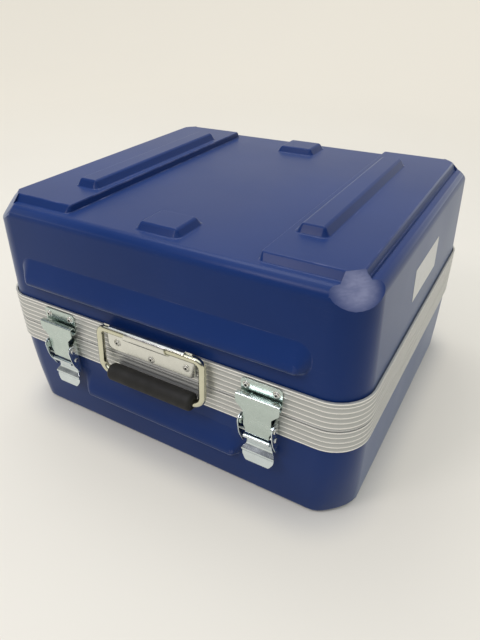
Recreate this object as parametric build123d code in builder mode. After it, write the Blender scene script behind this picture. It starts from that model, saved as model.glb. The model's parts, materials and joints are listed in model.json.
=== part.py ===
"""Hard carry case: a shallow base and a deep lid of formed plastic, edged with ribbed metal bands.

Millimetres, +Z up. The origin is the centre of the underside, the front faces -Y and +X is the
viewer's right. On the front and the rear, n is the distance out from the band's face and v the
height above the parting line.
"""
from build123d import *
from functools import partial
from math import atan2, cos, degrees, hypot, radians, sin
import os

os.makedirs("parts", exist_ok=True)

# Case, measured over the bands
case_w = 450.0
case_d = 400.0
case_corner_r = 40.0
base_h = 122.0
lid_h = 141.0

# Clearances
seat_gap = 0.1
moving_gap = 0.3
pin_fit = 0.05

# Shells
wall = 3.5
lid_top_inset = 6.5
lid_top_corner_r = 36.0
lid_shoulder_r = 12.0
base_floor_inset = 5.0
base_floor_corner = 32.0
base_edge_r = 3.0
corner_fade = 0.3

# Raised panels at the lid's two ends
panel_h = 7.5
panel_in_x = 111.8
panel_in_slope = 1.8
panel_out_x = 201.0
panel_out_slope = 4.0
panel_end_y = 171.0
panel_end_slope = 7.0
panel_corner_x = 12.0
panel_corner_y = 9.0

# Ribs that stand on the panels
rib_h = 8.5
rib_mid_x = 136.0
rib_w = 22.0
rib_side_slope = 5.0
rib_end_y = 117.5
rib_end_slope = 3.5

# Pads at the middle of the lid's front and rear edges
pad_w = 42.0
pad_in_y = 135.5
pad_out_y = 168.7
pad_slope = 4.0

# Raised bars on the front and rear walls
bar_raise = 3.5
bar_slope = 3.0
lid_bar_half_w = 178.0
lid_bar_low = 50.5
lid_bar_high = 85.5
base_bar_half_w = 110.0
base_bar_low = -82.5
base_bar_high = -43.5
bar_corner_r = 15.0

# Bands: bent extrusions with an outer flange, a web and an inner flange
flange_t = 2.0
web_t = 2.0
inner_flange_t = 1.5
inner_flange_h = 5.5
lid_band_h = 34.0
base_band_h = 25.5
band_edge = 0.5
groove_depth = 0.6
groove_w = 1.4
groove_pitch = 3.6
lid_groove_count = 6
lid_groove_first = 8.0
base_groove_count = 4
base_groove_first = -22.0

# Tongue on the lid's band, and the seal that it closes on
tongue_t = 1.8
tongue_h = 2.7
tongue_side_gap = 1.1
seal_t = 1.7
groove_floor_t = 1.6

# Rivets
rivet_head_r = 4.25
rivet_head_h = 1.6
rivet_shank_r = 2.0
rivet_hole_r = 1.3
rivet_tail_r = 3.2
rivet_tail_h = 1.6
rivet_dome_at = (0.75, 0.7)
rivet_reach = 12.0

# Handle
bail_r = 4.0
bail_fit = 0.1
bail_half_w = 65.25
bail_drop = 52.0
bail_top_r = 6.5
bail_bottom_r = 12.0
bail_shift = 2.5
bail_joint_gap = 1.0
handle_plate_t = 1.8
handle_plate_half_w = 56.0
handle_plate_low = 5.0
handle_corner_r = 8.0
handle_pivot_above_band = 1.0
handle_knuckle_half_w = 28.0
handle_side_half_w = 48.0
handle_knuckle_curl = 280.0
handle_side_curl = 170.0
handle_rivet_x = 44.8
handle_rivet_v = 17.1
handle_mid_rivet_v = 11.2
grip_r = 9.8
grip_half_w = 54.5
grip_end_r = 4.0
grip_gap = 0.5

# Latches: keeper on the lid, base plate, lever and link on the base
latch_x = 129.3
keeper_t = 1.5
keeper_half_w = 22.0
keeper_high = 31.0
keeper_bend_v = 12.0
trough_r = 3.0
lip_top = 14.0
keeper_rivet_x = 15.9
keeper_rivet_v = 24.0
link_t = 1.2
link_half_w = 23.3
link_neck_half_w = 15.2
link_foot_half_w = 13.0
link_ear_low = 3.0
link_neck_high = -4.0
link_neck_low = -19.0
link_foot_high = -23.0
link_ridge_v = 17.4
claw_bend = (4.6, 15.6)
claw_tip = (3.9, 13.4)
pivot_n = 8.8
pivot_v = -13.0
pivot_r = 2.0
pivot_head_r = 3.5
pivot_head_t = 1.2
link_pin_n = 7.2
link_pin_v = -27.0
link_pin_r = 1.5
link_pin_head_r = 2.5
latch_plate_t = 1.5
latch_plate_half_w = 17.4
latch_plate_low = -24.0
latch_plate_high = -2.0
latch_ear_r = 5.0
latch_rivet_x = 9.0
latch_rivet_v = -18.0
lever_t = 1.2
lever_half_w = 18.9
lever_roll_half_w = 14.5
lever_roll = (10.2, -32.5)
lever_roll_r = 1.6
lever_roll_curl = 300.0
lever_face_n = 8.2
lever_face_high = -40.0
lever_face_low = -45.0
lever_ridge = (10.2, -50.5)
lever_valley = (9.4, -53.0)
lever_tip = (11.4, -66.5)
lever_tip_half_w = 13.0
lever_flare_high = -38.0
lever_flare_low = -47.0
lever_clip_v = -60.0
cheek_pivot_r = 6.5
cheek_front = [(13.5, -28.0), (11.0, -42.0)]
cheek_rear = [(4.5, -44.0), (2.6, -34.0)]

# Hinges
hinge_x = 129.0
hinge_leaf_t = 1.5
hinge_half_w = 25.0
hinge_lid_knuckle_w = 25.0
hinge_pin_r = 2.0
hinge_pin_proud = 1.0
hinge_face_gap = 0.25
hinge_base_drop = 24.0
hinge_lid_rise = 26.0
hinge_rivet_x = 16.0
hinge_rivet_v = 18.0
hinge_corner_r = 4.0
lid_open_angle = 95.0
stop_reach = 7.5

# Foam linings
foam_inset = 10.0
base_foam_corner_r = 55.0
base_foam_below_rim = 10.0
pocket_w = 330.0
pocket_d = 280.0
pocket_floor_t = 28.0
lid_foam_inset = 14.0
lid_foam_t = 34.0
lid_foam_corner_r = 34.0
lid_foam_chamfer = 5.0

# Blank label on the lid's right wall
label_w = 94.0
label_h = 36.0
label_t = 0.25
label_y = -6.0
label_v = 84.0

# Values that follow from the sizes above
front_y = -case_d / 2
rear_y = case_d / 2
rim_inset = flange_t + seat_gap
lid_rim_v = moving_gap + web_t + seat_gap
lid_draft_run = (lid_top_inset - rim_inset) / (lid_h - lid_rim_v)
lid_top_z = base_h + lid_h
panel_top_z = lid_top_z + panel_h
lid_flange_n = -(rim_inset + wall + inner_flange_h * lid_draft_run + 2 * seat_gap)
tongue_top_v = moving_gap
tongue_in_n = -(flange_t + seat_gap + tongue_side_gap + tongue_t)
tongue_out_n = tongue_in_n + tongue_t
seal_slot_in_n = tongue_in_n - tongue_side_gap
seal_slot_out_n = tongue_out_n + tongue_side_gap
seal_slot_v = tongue_top_v - tongue_h - moving_gap - seal_t
base_web_v = seal_slot_v - groove_floor_t
base_rim_v = base_web_v - seat_gap
base_draft_run = (base_floor_inset - rim_inset) / (base_h + base_rim_v)
corner_cut_floor = (base_floor_inset + base_floor_corner / 2) * 2**0.5
corner_cut_rim = case_corner_r * (2**0.5 - 1) + rim_inset - corner_fade
base_corner_run = (corner_cut_floor - corner_cut_rim) / (base_h + base_rim_v)
base_flange_n = -(rim_inset + wall + inner_flange_h * base_corner_run + 2 * seat_gap)
barrel_in_r = bail_r + bail_fit
barrel_out_r = barrel_in_r + handle_plate_t
bail_n = barrel_out_r
bail_v = lid_band_h + handle_pivot_above_band
grip_n = grip_r + grip_gap
bail_lean = degrees(atan2(grip_n - bail_n, bail_drop))
bail_length = hypot(grip_n - bail_n, bail_drop)
knuckle_in_r = link_pin_r + pin_fit
knuckle_out_r = knuckle_in_r + link_t
knuckle_mid_r = (knuckle_in_r + knuckle_out_r) / 2
keeper_trough_n = keeper_t + trough_r
lip_out_n = keeper_trough_n + trough_r + keeper_t
link_ridge_n = lip_out_n + moving_gap + link_t / 2 + seat_gap
ear_in_x = latch_plate_half_w - latch_plate_t
cheek_in_x = latch_plate_half_w + moving_gap
cheek_out_x = lever_half_w
hinge_knuckle_r = hinge_pin_r + pin_fit + hinge_leaf_t
hinge_n = hinge_knuckle_r + hinge_face_gap
hinge_notch = hinge_knuckle_r + moving_gap + pin_fit
latch_sides = {"left": -latch_x, "right": latch_x}
hinge_sides = {"left": -hinge_x, "right": hinge_x}


# Planes that the profiles are drawn on
def front_side(x=0.0):
    """Side view at x, where local x is n and local y is v."""
    return Plane(origin=(x, front_y, base_h), x_dir=(0, -1, 0), z_dir=(-1, 0, 0))


def rear_side(x=0.0):
    """Side view of the rear at x, where local x is n and local y is v."""
    return Plane(origin=(x, rear_y, base_h), x_dir=(0, 1, 0), z_dir=(1, 0, 0))


def front_face(n=0.0):
    """Front view, n out from the band, where local x is X and local y is v."""
    return Plane(origin=(0, front_y - n, base_h), x_dir=(1, 0, 0), z_dir=(0, -1, 0))


def rear_face(n=0.0):
    """Rear view, n out from the band, where local x is -X and local y is v."""
    return Plane(origin=(0, rear_y + n, base_h), x_dir=(-1, 0, 0), z_dir=(0, 1, 0))


# Faces that several pieces are made from
def polygon(plane, *points):
    """The face inside the points."""
    with BuildSketch(plane) as face:
        with BuildLine():
            Polyline(*points, close=True)
        make_face()
    return face.sketch


def box_face(plane, low, high):
    """The upright rectangle between two corners."""
    return polygon(plane, low, (high[0], low[1]), high, (low[0], high[1]))


def discs(plane, points, radius):
    """A round face at each point."""
    with BuildSketch(plane) as face:
        with Locations(*points):
            Circle(radius)
    return face.sketch


def curl(plane, centre, inner_r, outer_r, start, sweep_angle):
    """Sheet rolled round a centre, from a start angle."""
    with BuildSketch(plane) as face:
        with BuildLine():
            inner = CenterArc(centre, inner_r, start, sweep_angle)
            outer = CenterArc(centre, outer_r, start, sweep_angle)
            Line(inner @ 0, outer @ 0)
            Line(inner @ 1, outer @ 1)
        make_face()
    return face.sketch


def sheet(plane, points, bend_r, thickness):
    """Bent sheet seen on edge, along its middle line."""
    with BuildSketch(plane) as face:
        with BuildLine():
            FilletPolyline(*points, radius=bend_r)
        trace(line_width=thickness)
    return face.sketch


def ring_face(plane, inset):
    """The case's outline, drawn in by an inset."""
    with BuildSketch(plane) as face:
        RectangleRounded(case_w - 2 * inset, case_d - 2 * inset, case_corner_r - inset)
    return face.sketch


def corner_plane(side_x, side_y):
    """Upright plane through a corner, where local x is the distance in from it and local y is the height."""
    return Plane(
        origin=(side_x * case_w / 2, side_y * case_d / 2, 0), x_dir=(-side_x, -side_y, 0), z_dir=(-side_y, side_x, 0)
    )


def mirrored(profile):
    """The points of a right half, with the left half added in reverse."""
    return [*profile, *[(-x, y) for x, y in reversed(profile)]]


# Rivets: a domed head with the mandrel's hole, a shank and a set tail
def rivet(plane, v, head_n, tail_n):
    """One rivet, from the face under its head to the face under its tail."""
    crown = head_n + rivet_head_h
    with BuildSketch(plane) as half:
        with BuildLine():
            Line((head_n, v + rivet_head_r), (head_n, v + rivet_shank_r))
            Line((head_n, v + rivet_shank_r), (tail_n, v + rivet_shank_r))
            Line((tail_n, v + rivet_shank_r), (tail_n, v + rivet_tail_r))
            Line((tail_n, v + rivet_tail_r), (tail_n - rivet_tail_h, v + rivet_tail_r))
            Line((tail_n - rivet_tail_h, v + rivet_tail_r), (tail_n - rivet_tail_h, v))
            Line((tail_n - rivet_tail_h, v), (head_n, v))
            Line((head_n, v), (head_n, v + rivet_hole_r))
            Line((head_n, v + rivet_hole_r), (crown, v + rivet_hole_r))
            ThreePointArc(
                (crown, v + rivet_hole_r),
                (head_n + rivet_dome_at[1] * rivet_head_h, v + rivet_dome_at[0] * rivet_head_r),
                (head_n, v + rivet_head_r),
            )
        make_face()
    centre = plane.from_local_coords((0, v, 0))
    revolve(half.sketch, axis=Axis(centre, plane.x_dir))


def lid_inner_n(v):
    """The lid shell's inner face at a height."""
    return -(rim_inset + wall + (v - lid_rim_v) * lid_draft_run)


def base_inner_n(v):
    """The base shell's inner face at a height."""
    return -(rim_inset + wall + (base_rim_v - v) * base_draft_run)


def tail_seat(inner_n):
    """Where a rivet's tail sits, just clear of the sloping wall."""
    return inner_n - seat_gap - rivet_tail_r * max(lid_draft_run, base_draft_run)


keeper_rivets_at = [(x + s * keeper_rivet_x, keeper_rivet_v) for x in latch_sides.values() for s in (-1, 1)]
handle_rivets_at = [(-handle_rivet_x, handle_rivet_v), (handle_rivet_x, handle_rivet_v), (0, handle_mid_rivet_v)]
latch_rivets_at = [(x + s * latch_rivet_x, latch_rivet_v) for x in latch_sides.values() for s in (-1, 1)]
hinge_columns = [x + s * hinge_rivet_x for x in hinge_sides.values() for s in (-1, 1)]
hinge_lid_rivets_at = [(x, hinge_rivet_v) for x in hinge_columns]
hinge_base_rivets_at = [(x, -hinge_rivet_v) for x in hinge_columns]


def rivet_holes(front_points, rear_points):
    """Cut the holes for the front and rear rivets through a band or a shell."""
    radius = rivet_shank_r + pin_fit
    extrude(discs(front_face(), front_points, radius), amount=-rivet_reach, mode=Mode.SUBTRACT)
    extrude(discs(rear_face(), rear_points, radius), amount=-rivet_reach, mode=Mode.SUBTRACT)


# Shells
def loft_between(low, high):
    """A form with straight sides between two faces."""
    loft([low, high], ruled=True)


def raised(base_z, height, outline, slopes, skin):
    """A raised form on the lid, its sides sloping out by the given runs to its foot."""
    sink = (height + wall / 2) / height
    foot = outline(*[slope * sink - skin for slope in slopes])
    top = outline(*[-skin for slope in slopes])
    loft_between(
        polygon(Plane.XY.offset(base_z - wall / 2), *foot), polygon(Plane.XY.offset(base_z + height), *top)
    )


def panel_outline(side, grow_in, grow_out, grow_end):
    """Outline of an end panel: square inside corners, clipped outside corners."""
    x_in = side * (panel_in_x - grow_in)
    x_out = side * (panel_out_x + grow_out)
    y_end = panel_end_y + grow_end
    x_clip = x_out - side * panel_corner_x
    y_clip = y_end - panel_corner_y
    half = [(x_in, y_end), (x_clip, y_end), (x_out, y_clip)]
    return [*half, *[(x, -y) for x, y in reversed(half)]]


def block_outline(middle, width, depth, grow_x, grow_y):
    """Corners of a rectangle, grown on each side."""
    x, y = middle
    half_w = width / 2 + grow_x
    half_d = depth / 2 + grow_y
    return [(x - half_w, y - half_d), (x + half_w, y - half_d), (x + half_w, y + half_d), (x - half_w, y + half_d)]


def wall_bar(plane_at, wall_n, half_w, low, high, skin):
    """A raised bar on a front or rear wall, drawn in by the skin for the inside."""
    foot_slope = bar_slope * wall / 2 / bar_raise
    with BuildSketch(plane_at(wall_n + bar_raise - skin)) as top:
        with Locations((0, (low + high) / 2)):
            bar_outline(half_w, low, high, -bar_slope - skin)
    with BuildSketch(plane_at(wall_n - wall / 2 - skin)) as foot:
        with Locations((0, (low + high) / 2)):
            bar_outline(half_w, low, high, foot_slope - skin)
    loft_between(foot.sketch, top.sketch)


def bar_outline(half_w, low, high, grow):
    """A bar's rounded outline, grown on each side."""
    RectangleRounded(2 * (half_w + grow), high - low + 2 * grow, bar_corner_r + grow)


def lid_form(skin):
    """The lid's outside for a skin of 0, or its inside for the wall. The inside runs past the rim."""
    top_z = lid_top_z - skin
    top_inset = lid_top_inset + skin
    rim = ring_face(Plane.XY.offset(base_h + lid_rim_v - skin), rim_inset + skin * (1 - lid_draft_run))
    bar_n = -(rim_inset + ((lid_bar_low + lid_bar_high) / 2 - lid_rim_v) * lid_draft_run)
    with BuildSketch(Plane.XY.offset(top_z)) as top:
        RectangleRounded(case_w - 2 * top_inset, case_d - 2 * top_inset, lid_top_corner_r - skin)
    with BuildPart() as form:
        loft_between(rim, top.sketch)
        fillet(form.faces().sort_by(Axis.Z)[-1].edges(), lid_shoulder_r - skin)
        for side in (-1, 1):
            panel = partial(panel_outline, side)
            rib = partial(block_outline, (side * rib_mid_x, 0), rib_w, 2 * rib_end_y)
            pad = partial(block_outline, (0, side * (pad_in_y + pad_out_y) / 2), pad_w, pad_out_y - pad_in_y)
            raised(top_z, panel_h, panel, (panel_in_slope, panel_out_slope, panel_end_slope), skin)
            raised(top_z + panel_h, rib_h, rib, (rib_side_slope, rib_end_slope), skin)
            raised(top_z, panel_h, pad, (pad_slope, pad_slope), skin)
        for plane_at in (front_face, rear_face):
            wall_bar(plane_at, bar_n, lid_bar_half_w, lid_bar_low, lid_bar_high, skin)
    return form.part


def base_form(skin):
    """The base's outside for a skin of 0, or its inside for the wall. The inside runs past the rim."""
    bar_n = -(rim_inset + (base_rim_v - (base_bar_low + base_bar_high) / 2) * base_draft_run)
    over = skin
    rim_z = base_h + base_rim_v + over
    height = rim_z - skin
    rim_in = rim_inset + skin - over * base_draft_run
    cut_rim = corner_cut_rim + skin - over * base_corner_run
    cut_floor = cut_rim + rim_z * base_corner_run
    with BuildPart() as form:
        extrude(ring_face(Plane.XY.offset(rim_z), rim_in), amount=-height, taper=degrees(atan2(base_draft_run, 1)))
        for side_x in (-1, 1):
            for side_y in (-1, 1):
                off = [(-case_corner_r, 0), (cut_floor, 0), (cut_rim, rim_z), (-case_corner_r, rim_z)]
                wedge = polygon(corner_plane(side_x, side_y), *off)
                extrude(wedge, amount=2 * case_corner_r, both=True, mode=Mode.SUBTRACT)
        if skin == 0:
            fillet(form.faces().sort_by(Axis.Z)[0].edges(), base_edge_r)
        for plane_at in (front_face, rear_face):
            wall_bar(plane_at, bar_n, base_bar_half_w, base_bar_low, base_bar_high, skin)
    return form.part


# Lid shell
with BuildPart() as lid_shell:
    add(lid_form(0))
    add(lid_form(wall), mode=Mode.SUBTRACT)
    rivet_holes(keeper_rivets_at + handle_rivets_at, hinge_lid_rivets_at)

# Base shell
with BuildPart() as base_shell:
    add(base_form(0))
    rivet_holes(latch_rivets_at, hinge_base_rivets_at)
    add(base_form(wall), mode=Mode.SUBTRACT)


# Bands
def grooved_face(first, count, low, high):
    """The band's outer face from low to high, with its fine grooves."""
    points = [(-band_edge, low), (0, low + band_edge)]
    for i in range(count):
        v = first + i * groove_pitch
        points += [
            (0, v - groove_w / 2),
            (-groove_depth, v - groove_w / 4),
            (-groove_depth, v + groove_w / 4),
            (0, v + groove_w / 2),
        ]
    return [*points, (0, high - band_edge), (-band_edge, high)]


def band(points):
    """Bend an extrusion round the case."""
    with BuildSketch(front_side()) as section:
        with BuildLine():
            Polyline(*points, close=True)
        make_face()
    half_w = case_w / 2
    half_d = case_d / 2
    with BuildLine(Plane.XY.offset(base_h)) as half_path:
        FilletPolyline((0, -half_d), (half_w, -half_d), (half_w, half_d), (0, half_d), radius=case_corner_r)
    sweep(section.sketch, path=half_path.wires()[0])
    mirror(about=Plane.YZ)


lid_low = moving_gap
lid_web_v = lid_low + web_t
with BuildPart() as lid_frame:
    band([
        *grooved_face(lid_groove_first, lid_groove_count, lid_low, lid_band_h),
        (-flange_t, lid_band_h),
        (-flange_t, lid_web_v),
        (lid_flange_n, lid_web_v),
        (lid_flange_n, lid_web_v + inner_flange_h),
        (lid_flange_n - inner_flange_t, lid_web_v + inner_flange_h),
        (lid_flange_n - inner_flange_t, lid_low),
        (tongue_in_n, lid_low),
        (tongue_in_n, lid_low - tongue_h),
        (tongue_out_n, lid_low - tongue_h),
        (tongue_out_n, lid_low),
    ])
    rivet_holes(keeper_rivets_at + handle_rivets_at, hinge_lid_rivets_at)

with BuildPart() as base_frame:
    band([
        *grooved_face(base_groove_first, base_groove_count, -base_band_h, 0),
        (seal_slot_out_n, 0),
        (seal_slot_out_n, seal_slot_v),
        (seal_slot_in_n, seal_slot_v),
        (seal_slot_in_n, 0),
        (base_flange_n - inner_flange_t, 0),
        (base_flange_n - inner_flange_t, base_web_v - inner_flange_h),
        (base_flange_n, base_web_v - inner_flange_h),
        (base_flange_n, base_web_v),
        (-flange_t, base_web_v),
        (-flange_t, -base_band_h),
    ])
    rivet_holes(latch_rivets_at, hinge_base_rivets_at)

with BuildPart() as frame_seal:
    band([
        (seal_slot_out_n - seat_gap, seal_slot_v),
        (seal_slot_out_n - seat_gap, seal_slot_v + seal_t),
        (seal_slot_in_n + seat_gap, seal_slot_v + seal_t),
        (seal_slot_in_n + seat_gap, seal_slot_v),
    ])

# Foam linings: a pad on the base's floor with four strips round the pocket, and a pad in the lid
foam_w = case_w - 2 * foam_inset
foam_d = case_d - 2 * foam_inset
strip_h = base_h - base_foam_below_rim - wall - pocket_floor_t - seat_gap
front_strip_d = (foam_d - pocket_d) / 2
side_strip_w = (foam_w - pocket_w) / 2
with BuildPart() as base_foam_pad:
    with BuildSketch(Plane.XY.offset(wall)):
        RectangleRounded(foam_w, foam_d, base_foam_corner_r)
    extrude(amount=pocket_floor_t)


def foam_strip(middle, width, depth):
    """One strip, its outer corners following the case's."""
    with BuildSketch(Plane.XY.offset(wall + pocket_floor_t + seat_gap)) as strip:
        RectangleRounded(foam_w, foam_d, base_foam_corner_r)
        with Locations(middle):
            Rectangle(width, depth, mode=Mode.INTERSECT)
    extrude(strip.sketch, amount=strip_h)


with BuildPart() as base_foam_strips:
    for side in (-1, 1):
        foam_strip((0, side * (foam_d - front_strip_d) / 2), foam_w, front_strip_d)
        foam_strip((side * (foam_w - side_strip_w) / 2, 0), side_strip_w, pocket_d - 2 * seat_gap)

with BuildPart() as lid_foam:
    with BuildSketch(Plane.XY.offset(lid_top_z - wall)):
        RectangleRounded(case_w - 2 * lid_foam_inset, case_d - 2 * lid_foam_inset, lid_foam_corner_r)
    extrude(amount=-lid_foam_t)
    chamfer(lid_foam.faces().sort_by(Axis.Z)[-1].edges(), lid_foam_chamfer)

# Blank label, flat on the sloping right wall
label_n = -(rim_inset + (label_v - lid_rim_v) * lid_draft_run)
label_plane = Plane(
    origin=(case_w / 2 + label_n, label_y, base_h + label_v), x_dir=(0, 1, 0), z_dir=(1, 0, lid_draft_run)
)
with BuildPart() as label_blank:
    with BuildSketch(label_plane):
        Rectangle(label_w, label_h)
    extrude(amount=label_t)

# Handle plate: its upper edge is rolled round the bail
bail_centre = (bail_n, bail_v)
with BuildPart() as handle_plate:
    with BuildSketch(front_face()) as handle_outline:
        with Locations((0, (handle_plate_low + bail_v) / 2)):
            Rectangle(2 * handle_plate_half_w, bail_v - handle_plate_low)
        fillet(handle_outline.vertices().group_by(Axis.Z)[0], handle_corner_r)
    extrude(amount=handle_plate_t)
    for half_w, angle in (
        (handle_knuckle_half_w, handle_knuckle_curl),
        (handle_side_half_w, handle_side_curl),
        (handle_plate_half_w, handle_side_curl / 2),
    ):
        rolled = curl(front_side(), bail_centre, barrel_in_r, barrel_out_r, 180, -angle)
        extrude(rolled, amount=half_w, both=True)
    with BuildSketch(front_side()):
        with Locations(bail_centre):
            Circle(barrel_in_r)
    extrude(amount=handle_plate_half_w, both=True, mode=Mode.SUBTRACT)
    extrude(
        discs(front_face(), handle_rivets_at, rivet_shank_r + pin_fit), amount=handle_plate_t, mode=Mode.SUBTRACT
    )

# Bail: round wire bent to a loop, its ends meeting inside the barrel
bail_plane = Plane(
    origin=(bail_shift, front_y - bail_n, base_h + bail_v),
    x_dir=(1, 0, 0),
    z_dir=(0, cos(radians(bail_lean)), -sin(radians(bail_lean))),
)
with BuildPart() as handle_bail:
    with BuildLine(bail_plane) as bail_path:
        FilletPolyline(
            (-bail_joint_gap / 2, 0),
            (-bail_half_w, 0),
            (-bail_half_w, bail_length),
            (bail_half_w, bail_length),
            (bail_half_w, 0),
            (bail_joint_gap / 2, 0),
            radius=[bail_top_r, bail_bottom_r, bail_bottom_r, bail_top_r],
        )
    with BuildSketch(Plane(origin=bail_path.line @ 0, z_dir=bail_path.line % 0)):
        Circle(bail_r)
    sweep(path=bail_path.wires()[0])

grip_plane = Plane(origin=(bail_shift, front_y - grip_n, base_h + bail_v - bail_drop), z_dir=(1, 0, 0))
with BuildPart() as handle_grip:
    with BuildSketch(grip_plane):
        Circle(grip_r)
    extrude(amount=grip_half_w, both=True)
    fillet(handle_grip.edges().filter_by(GeomType.CIRCLE), grip_end_r)
    with BuildSketch(grip_plane):
        Circle(bail_r + pin_fit)
    extrude(amount=grip_half_w, both=True, mode=Mode.SUBTRACT)


# Latches
def keeper(x):
    """Catch plate on the lid: its lower edge is turned up into a trough with a lip."""
    plane = front_side(x)
    centre = (keeper_trough_n, keeper_bend_v)
    with BuildPart() as part:
        extrude(box_face(plane, (0, keeper_bend_v), (keeper_t, keeper_high)), amount=keeper_half_w, both=True)
        extrude(curl(plane, centre, trough_r, trough_r + keeper_t, 180, 180), amount=keeper_half_w, both=True)
        extrude(
            box_face(plane, (lip_out_n - keeper_t, keeper_bend_v), (lip_out_n, lip_top)),
            amount=keeper_half_w,
            both=True,
        )
        holes = [(x + s * keeper_rivet_x, keeper_rivet_v) for s in (-1, 1)]
        extrude(
            discs(front_face(), holes, rivet_shank_r + pin_fit), amount=keeper_t, mode=Mode.SUBTRACT
        )
    return part.part


def latch_base(x):
    """Base plate with an ear each side for the lever's pivots."""
    ear = [
        (0, latch_plate_high),
        (latch_plate_t, latch_plate_high),
        (pivot_n, pivot_v + latch_ear_r),
        (pivot_n, pivot_v - latch_ear_r),
        (latch_plate_t, latch_plate_low),
        (0, latch_plate_low),
    ]
    middle = (x, (latch_plate_low + latch_plate_high) / 2)
    with BuildPart() as part:
        with BuildSketch(front_face()):
            with Locations(middle):
                Rectangle(2 * latch_plate_half_w, latch_plate_high - latch_plate_low)
            with Locations(*[(x + s * latch_rivet_x, latch_rivet_v) for s in (-1, 1)]):
                Circle(rivet_shank_r + pin_fit, mode=Mode.SUBTRACT)
        extrude(amount=latch_plate_t)
        for side in (-1, 1):
            plane = front_side(x + side * (ear_in_x + latch_plate_t / 2))
            extrude(polygon(plane, *ear), amount=latch_plate_t / 2, both=True)
            extrude(discs(plane, [(pivot_n, pivot_v)], latch_ear_r), amount=latch_plate_t / 2, both=True)
        bore = discs(front_side(x), [(pivot_n, pivot_v)], pivot_r + pin_fit)
        extrude(bore, amount=latch_plate_half_w, both=True, mode=Mode.SUBTRACT)
    return part.part


def lever_pivots(x):
    """The two stub pivots, riveted in the ears and headed outside the lever's cheeks."""
    stub_in_x = ear_in_x - moving_gap
    head_x = cheek_out_x + moving_gap
    with BuildPart() as part:
        for side in (-1, 1):
            stub_mid = x + side * (stub_in_x + head_x) / 2
            extrude(
                discs(front_side(stub_mid), [(pivot_n, pivot_v)], pivot_r),
                amount=(head_x - stub_in_x) / 2,
                both=True,
            )
            head_mid = x + side * (head_x + pivot_head_t / 2)
            extrude(
                discs(front_side(head_mid), [(pivot_n, pivot_v)], pivot_head_r),
                amount=pivot_head_t / 2,
                both=True,
            )
    return part.part


def latch_link(x):
    """Pull plate: a claw over the keeper's lip, and a knuckle round the link pin."""
    plane = front_side(x)
    plate_low = (link_pin_n + knuckle_mid_r, link_pin_v)
    section_points = [plate_low, (link_ridge_n, link_ridge_v), claw_bend, claw_tip]
    outline = [
        (link_half_w, link_ridge_v + link_t),
        (link_half_w, link_ear_low),
        (link_neck_half_w, link_neck_high),
        (link_neck_half_w, link_neck_low),
        (link_foot_half_w, link_foot_high),
        (link_foot_half_w, link_pin_v - knuckle_out_r - link_t),
    ]
    with BuildPart() as part:
        extrude(sheet(plane, section_points, link_t, link_t), amount=link_half_w, both=True)
        extrude(discs(plane, [(link_pin_n, link_pin_v)], knuckle_out_r), amount=link_half_w, both=True)
        bore = discs(plane, [(link_pin_n, link_pin_v)], knuckle_in_r)
        extrude(bore, amount=link_half_w, both=True, mode=Mode.SUBTRACT)
        with BuildSketch(front_face()) as front:
            with BuildLine():
                Polyline(*[(x + px, py) for px, py in mirrored(outline)], close=True)
            make_face()
        extrude(amount=2 * lip_out_n, mode=Mode.INTERSECT)
    return part.part


def latch_lever(x):
    """Lever: a formed web with a rolled upper edge, and a cheek each side on the pivots."""
    plane = front_side(x)
    web = [
        (lever_roll[0] - lever_roll_r, lever_roll[1]),
        (lever_face_n, lever_face_high),
        (lever_face_n, lever_face_low),
        lever_ridge,
        lever_valley,
        lever_tip,
    ]
    outline = [
        (lever_roll_half_w, lever_roll[1] + lever_roll_r + lever_t),
        (lever_roll_half_w, lever_flare_high),
        (lever_half_w, lever_flare_low),
        (lever_half_w, lever_clip_v),
        (lever_tip_half_w, lever_tip[1] - lever_t),
    ]
    roll_in = lever_roll_r - lever_t / 2
    roll_out = lever_roll_r + lever_t / 2
    cheek = [
        (pivot_n - cheek_pivot_r, pivot_v),
        (pivot_n + cheek_pivot_r, pivot_v),
        *cheek_front,
        (lever_ridge[0], lever_ridge[1] + lever_t / 2),
        (lever_face_n, lever_ridge[1] + lever_t / 2),
        *cheek_rear,
    ]
    with BuildPart() as part:
        extrude(sheet(plane, web, lever_t, lever_t), amount=lever_half_w, both=True)
        extrude(curl(plane, lever_roll, roll_in, roll_out, 180, -lever_roll_curl), amount=lever_half_w, both=True)
        with BuildSketch(front_face()) as front:
            with BuildLine():
                Polyline(*[(x + px, py) for px, py in mirrored(outline)], close=True)
            make_face()
        extrude(amount=2 * lever_tip[0], mode=Mode.INTERSECT)
        for side in (-1, 1):
            side_plane = front_side(x + side * (cheek_in_x + cheek_out_x) / 2)
            half_t = (cheek_out_x - cheek_in_x) / 2
            extrude(polygon(side_plane, *cheek), amount=half_t, both=True)
            extrude(discs(side_plane, [(pivot_n, pivot_v)], cheek_pivot_r), amount=half_t, both=True)
        bores = discs(plane, [(pivot_n, pivot_v)], pivot_r + pin_fit)
        extrude(bores, amount=lever_half_w, both=True, mode=Mode.SUBTRACT)
        pin_bores = discs(plane, [(link_pin_n, link_pin_v)], link_pin_r + pin_fit)
        extrude(pin_bores, amount=lever_half_w, both=True, mode=Mode.SUBTRACT)
    return part.part


def link_pin(x):
    """Pin through the lever's cheeks and the link's knuckle, headed at both ends."""
    centre = [(link_pin_n, link_pin_v)]
    with BuildPart() as part:
        extrude(discs(front_side(x), centre, link_pin_r), amount=cheek_out_x + pin_fit, both=True)
        for side in (-1, 1):
            head_mid = x + side * (cheek_out_x + pin_fit + pivot_head_t / 2)
            extrude(discs(front_side(head_mid), centre, link_pin_head_r), amount=pivot_head_t / 2, both=True)
    return part.part


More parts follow.
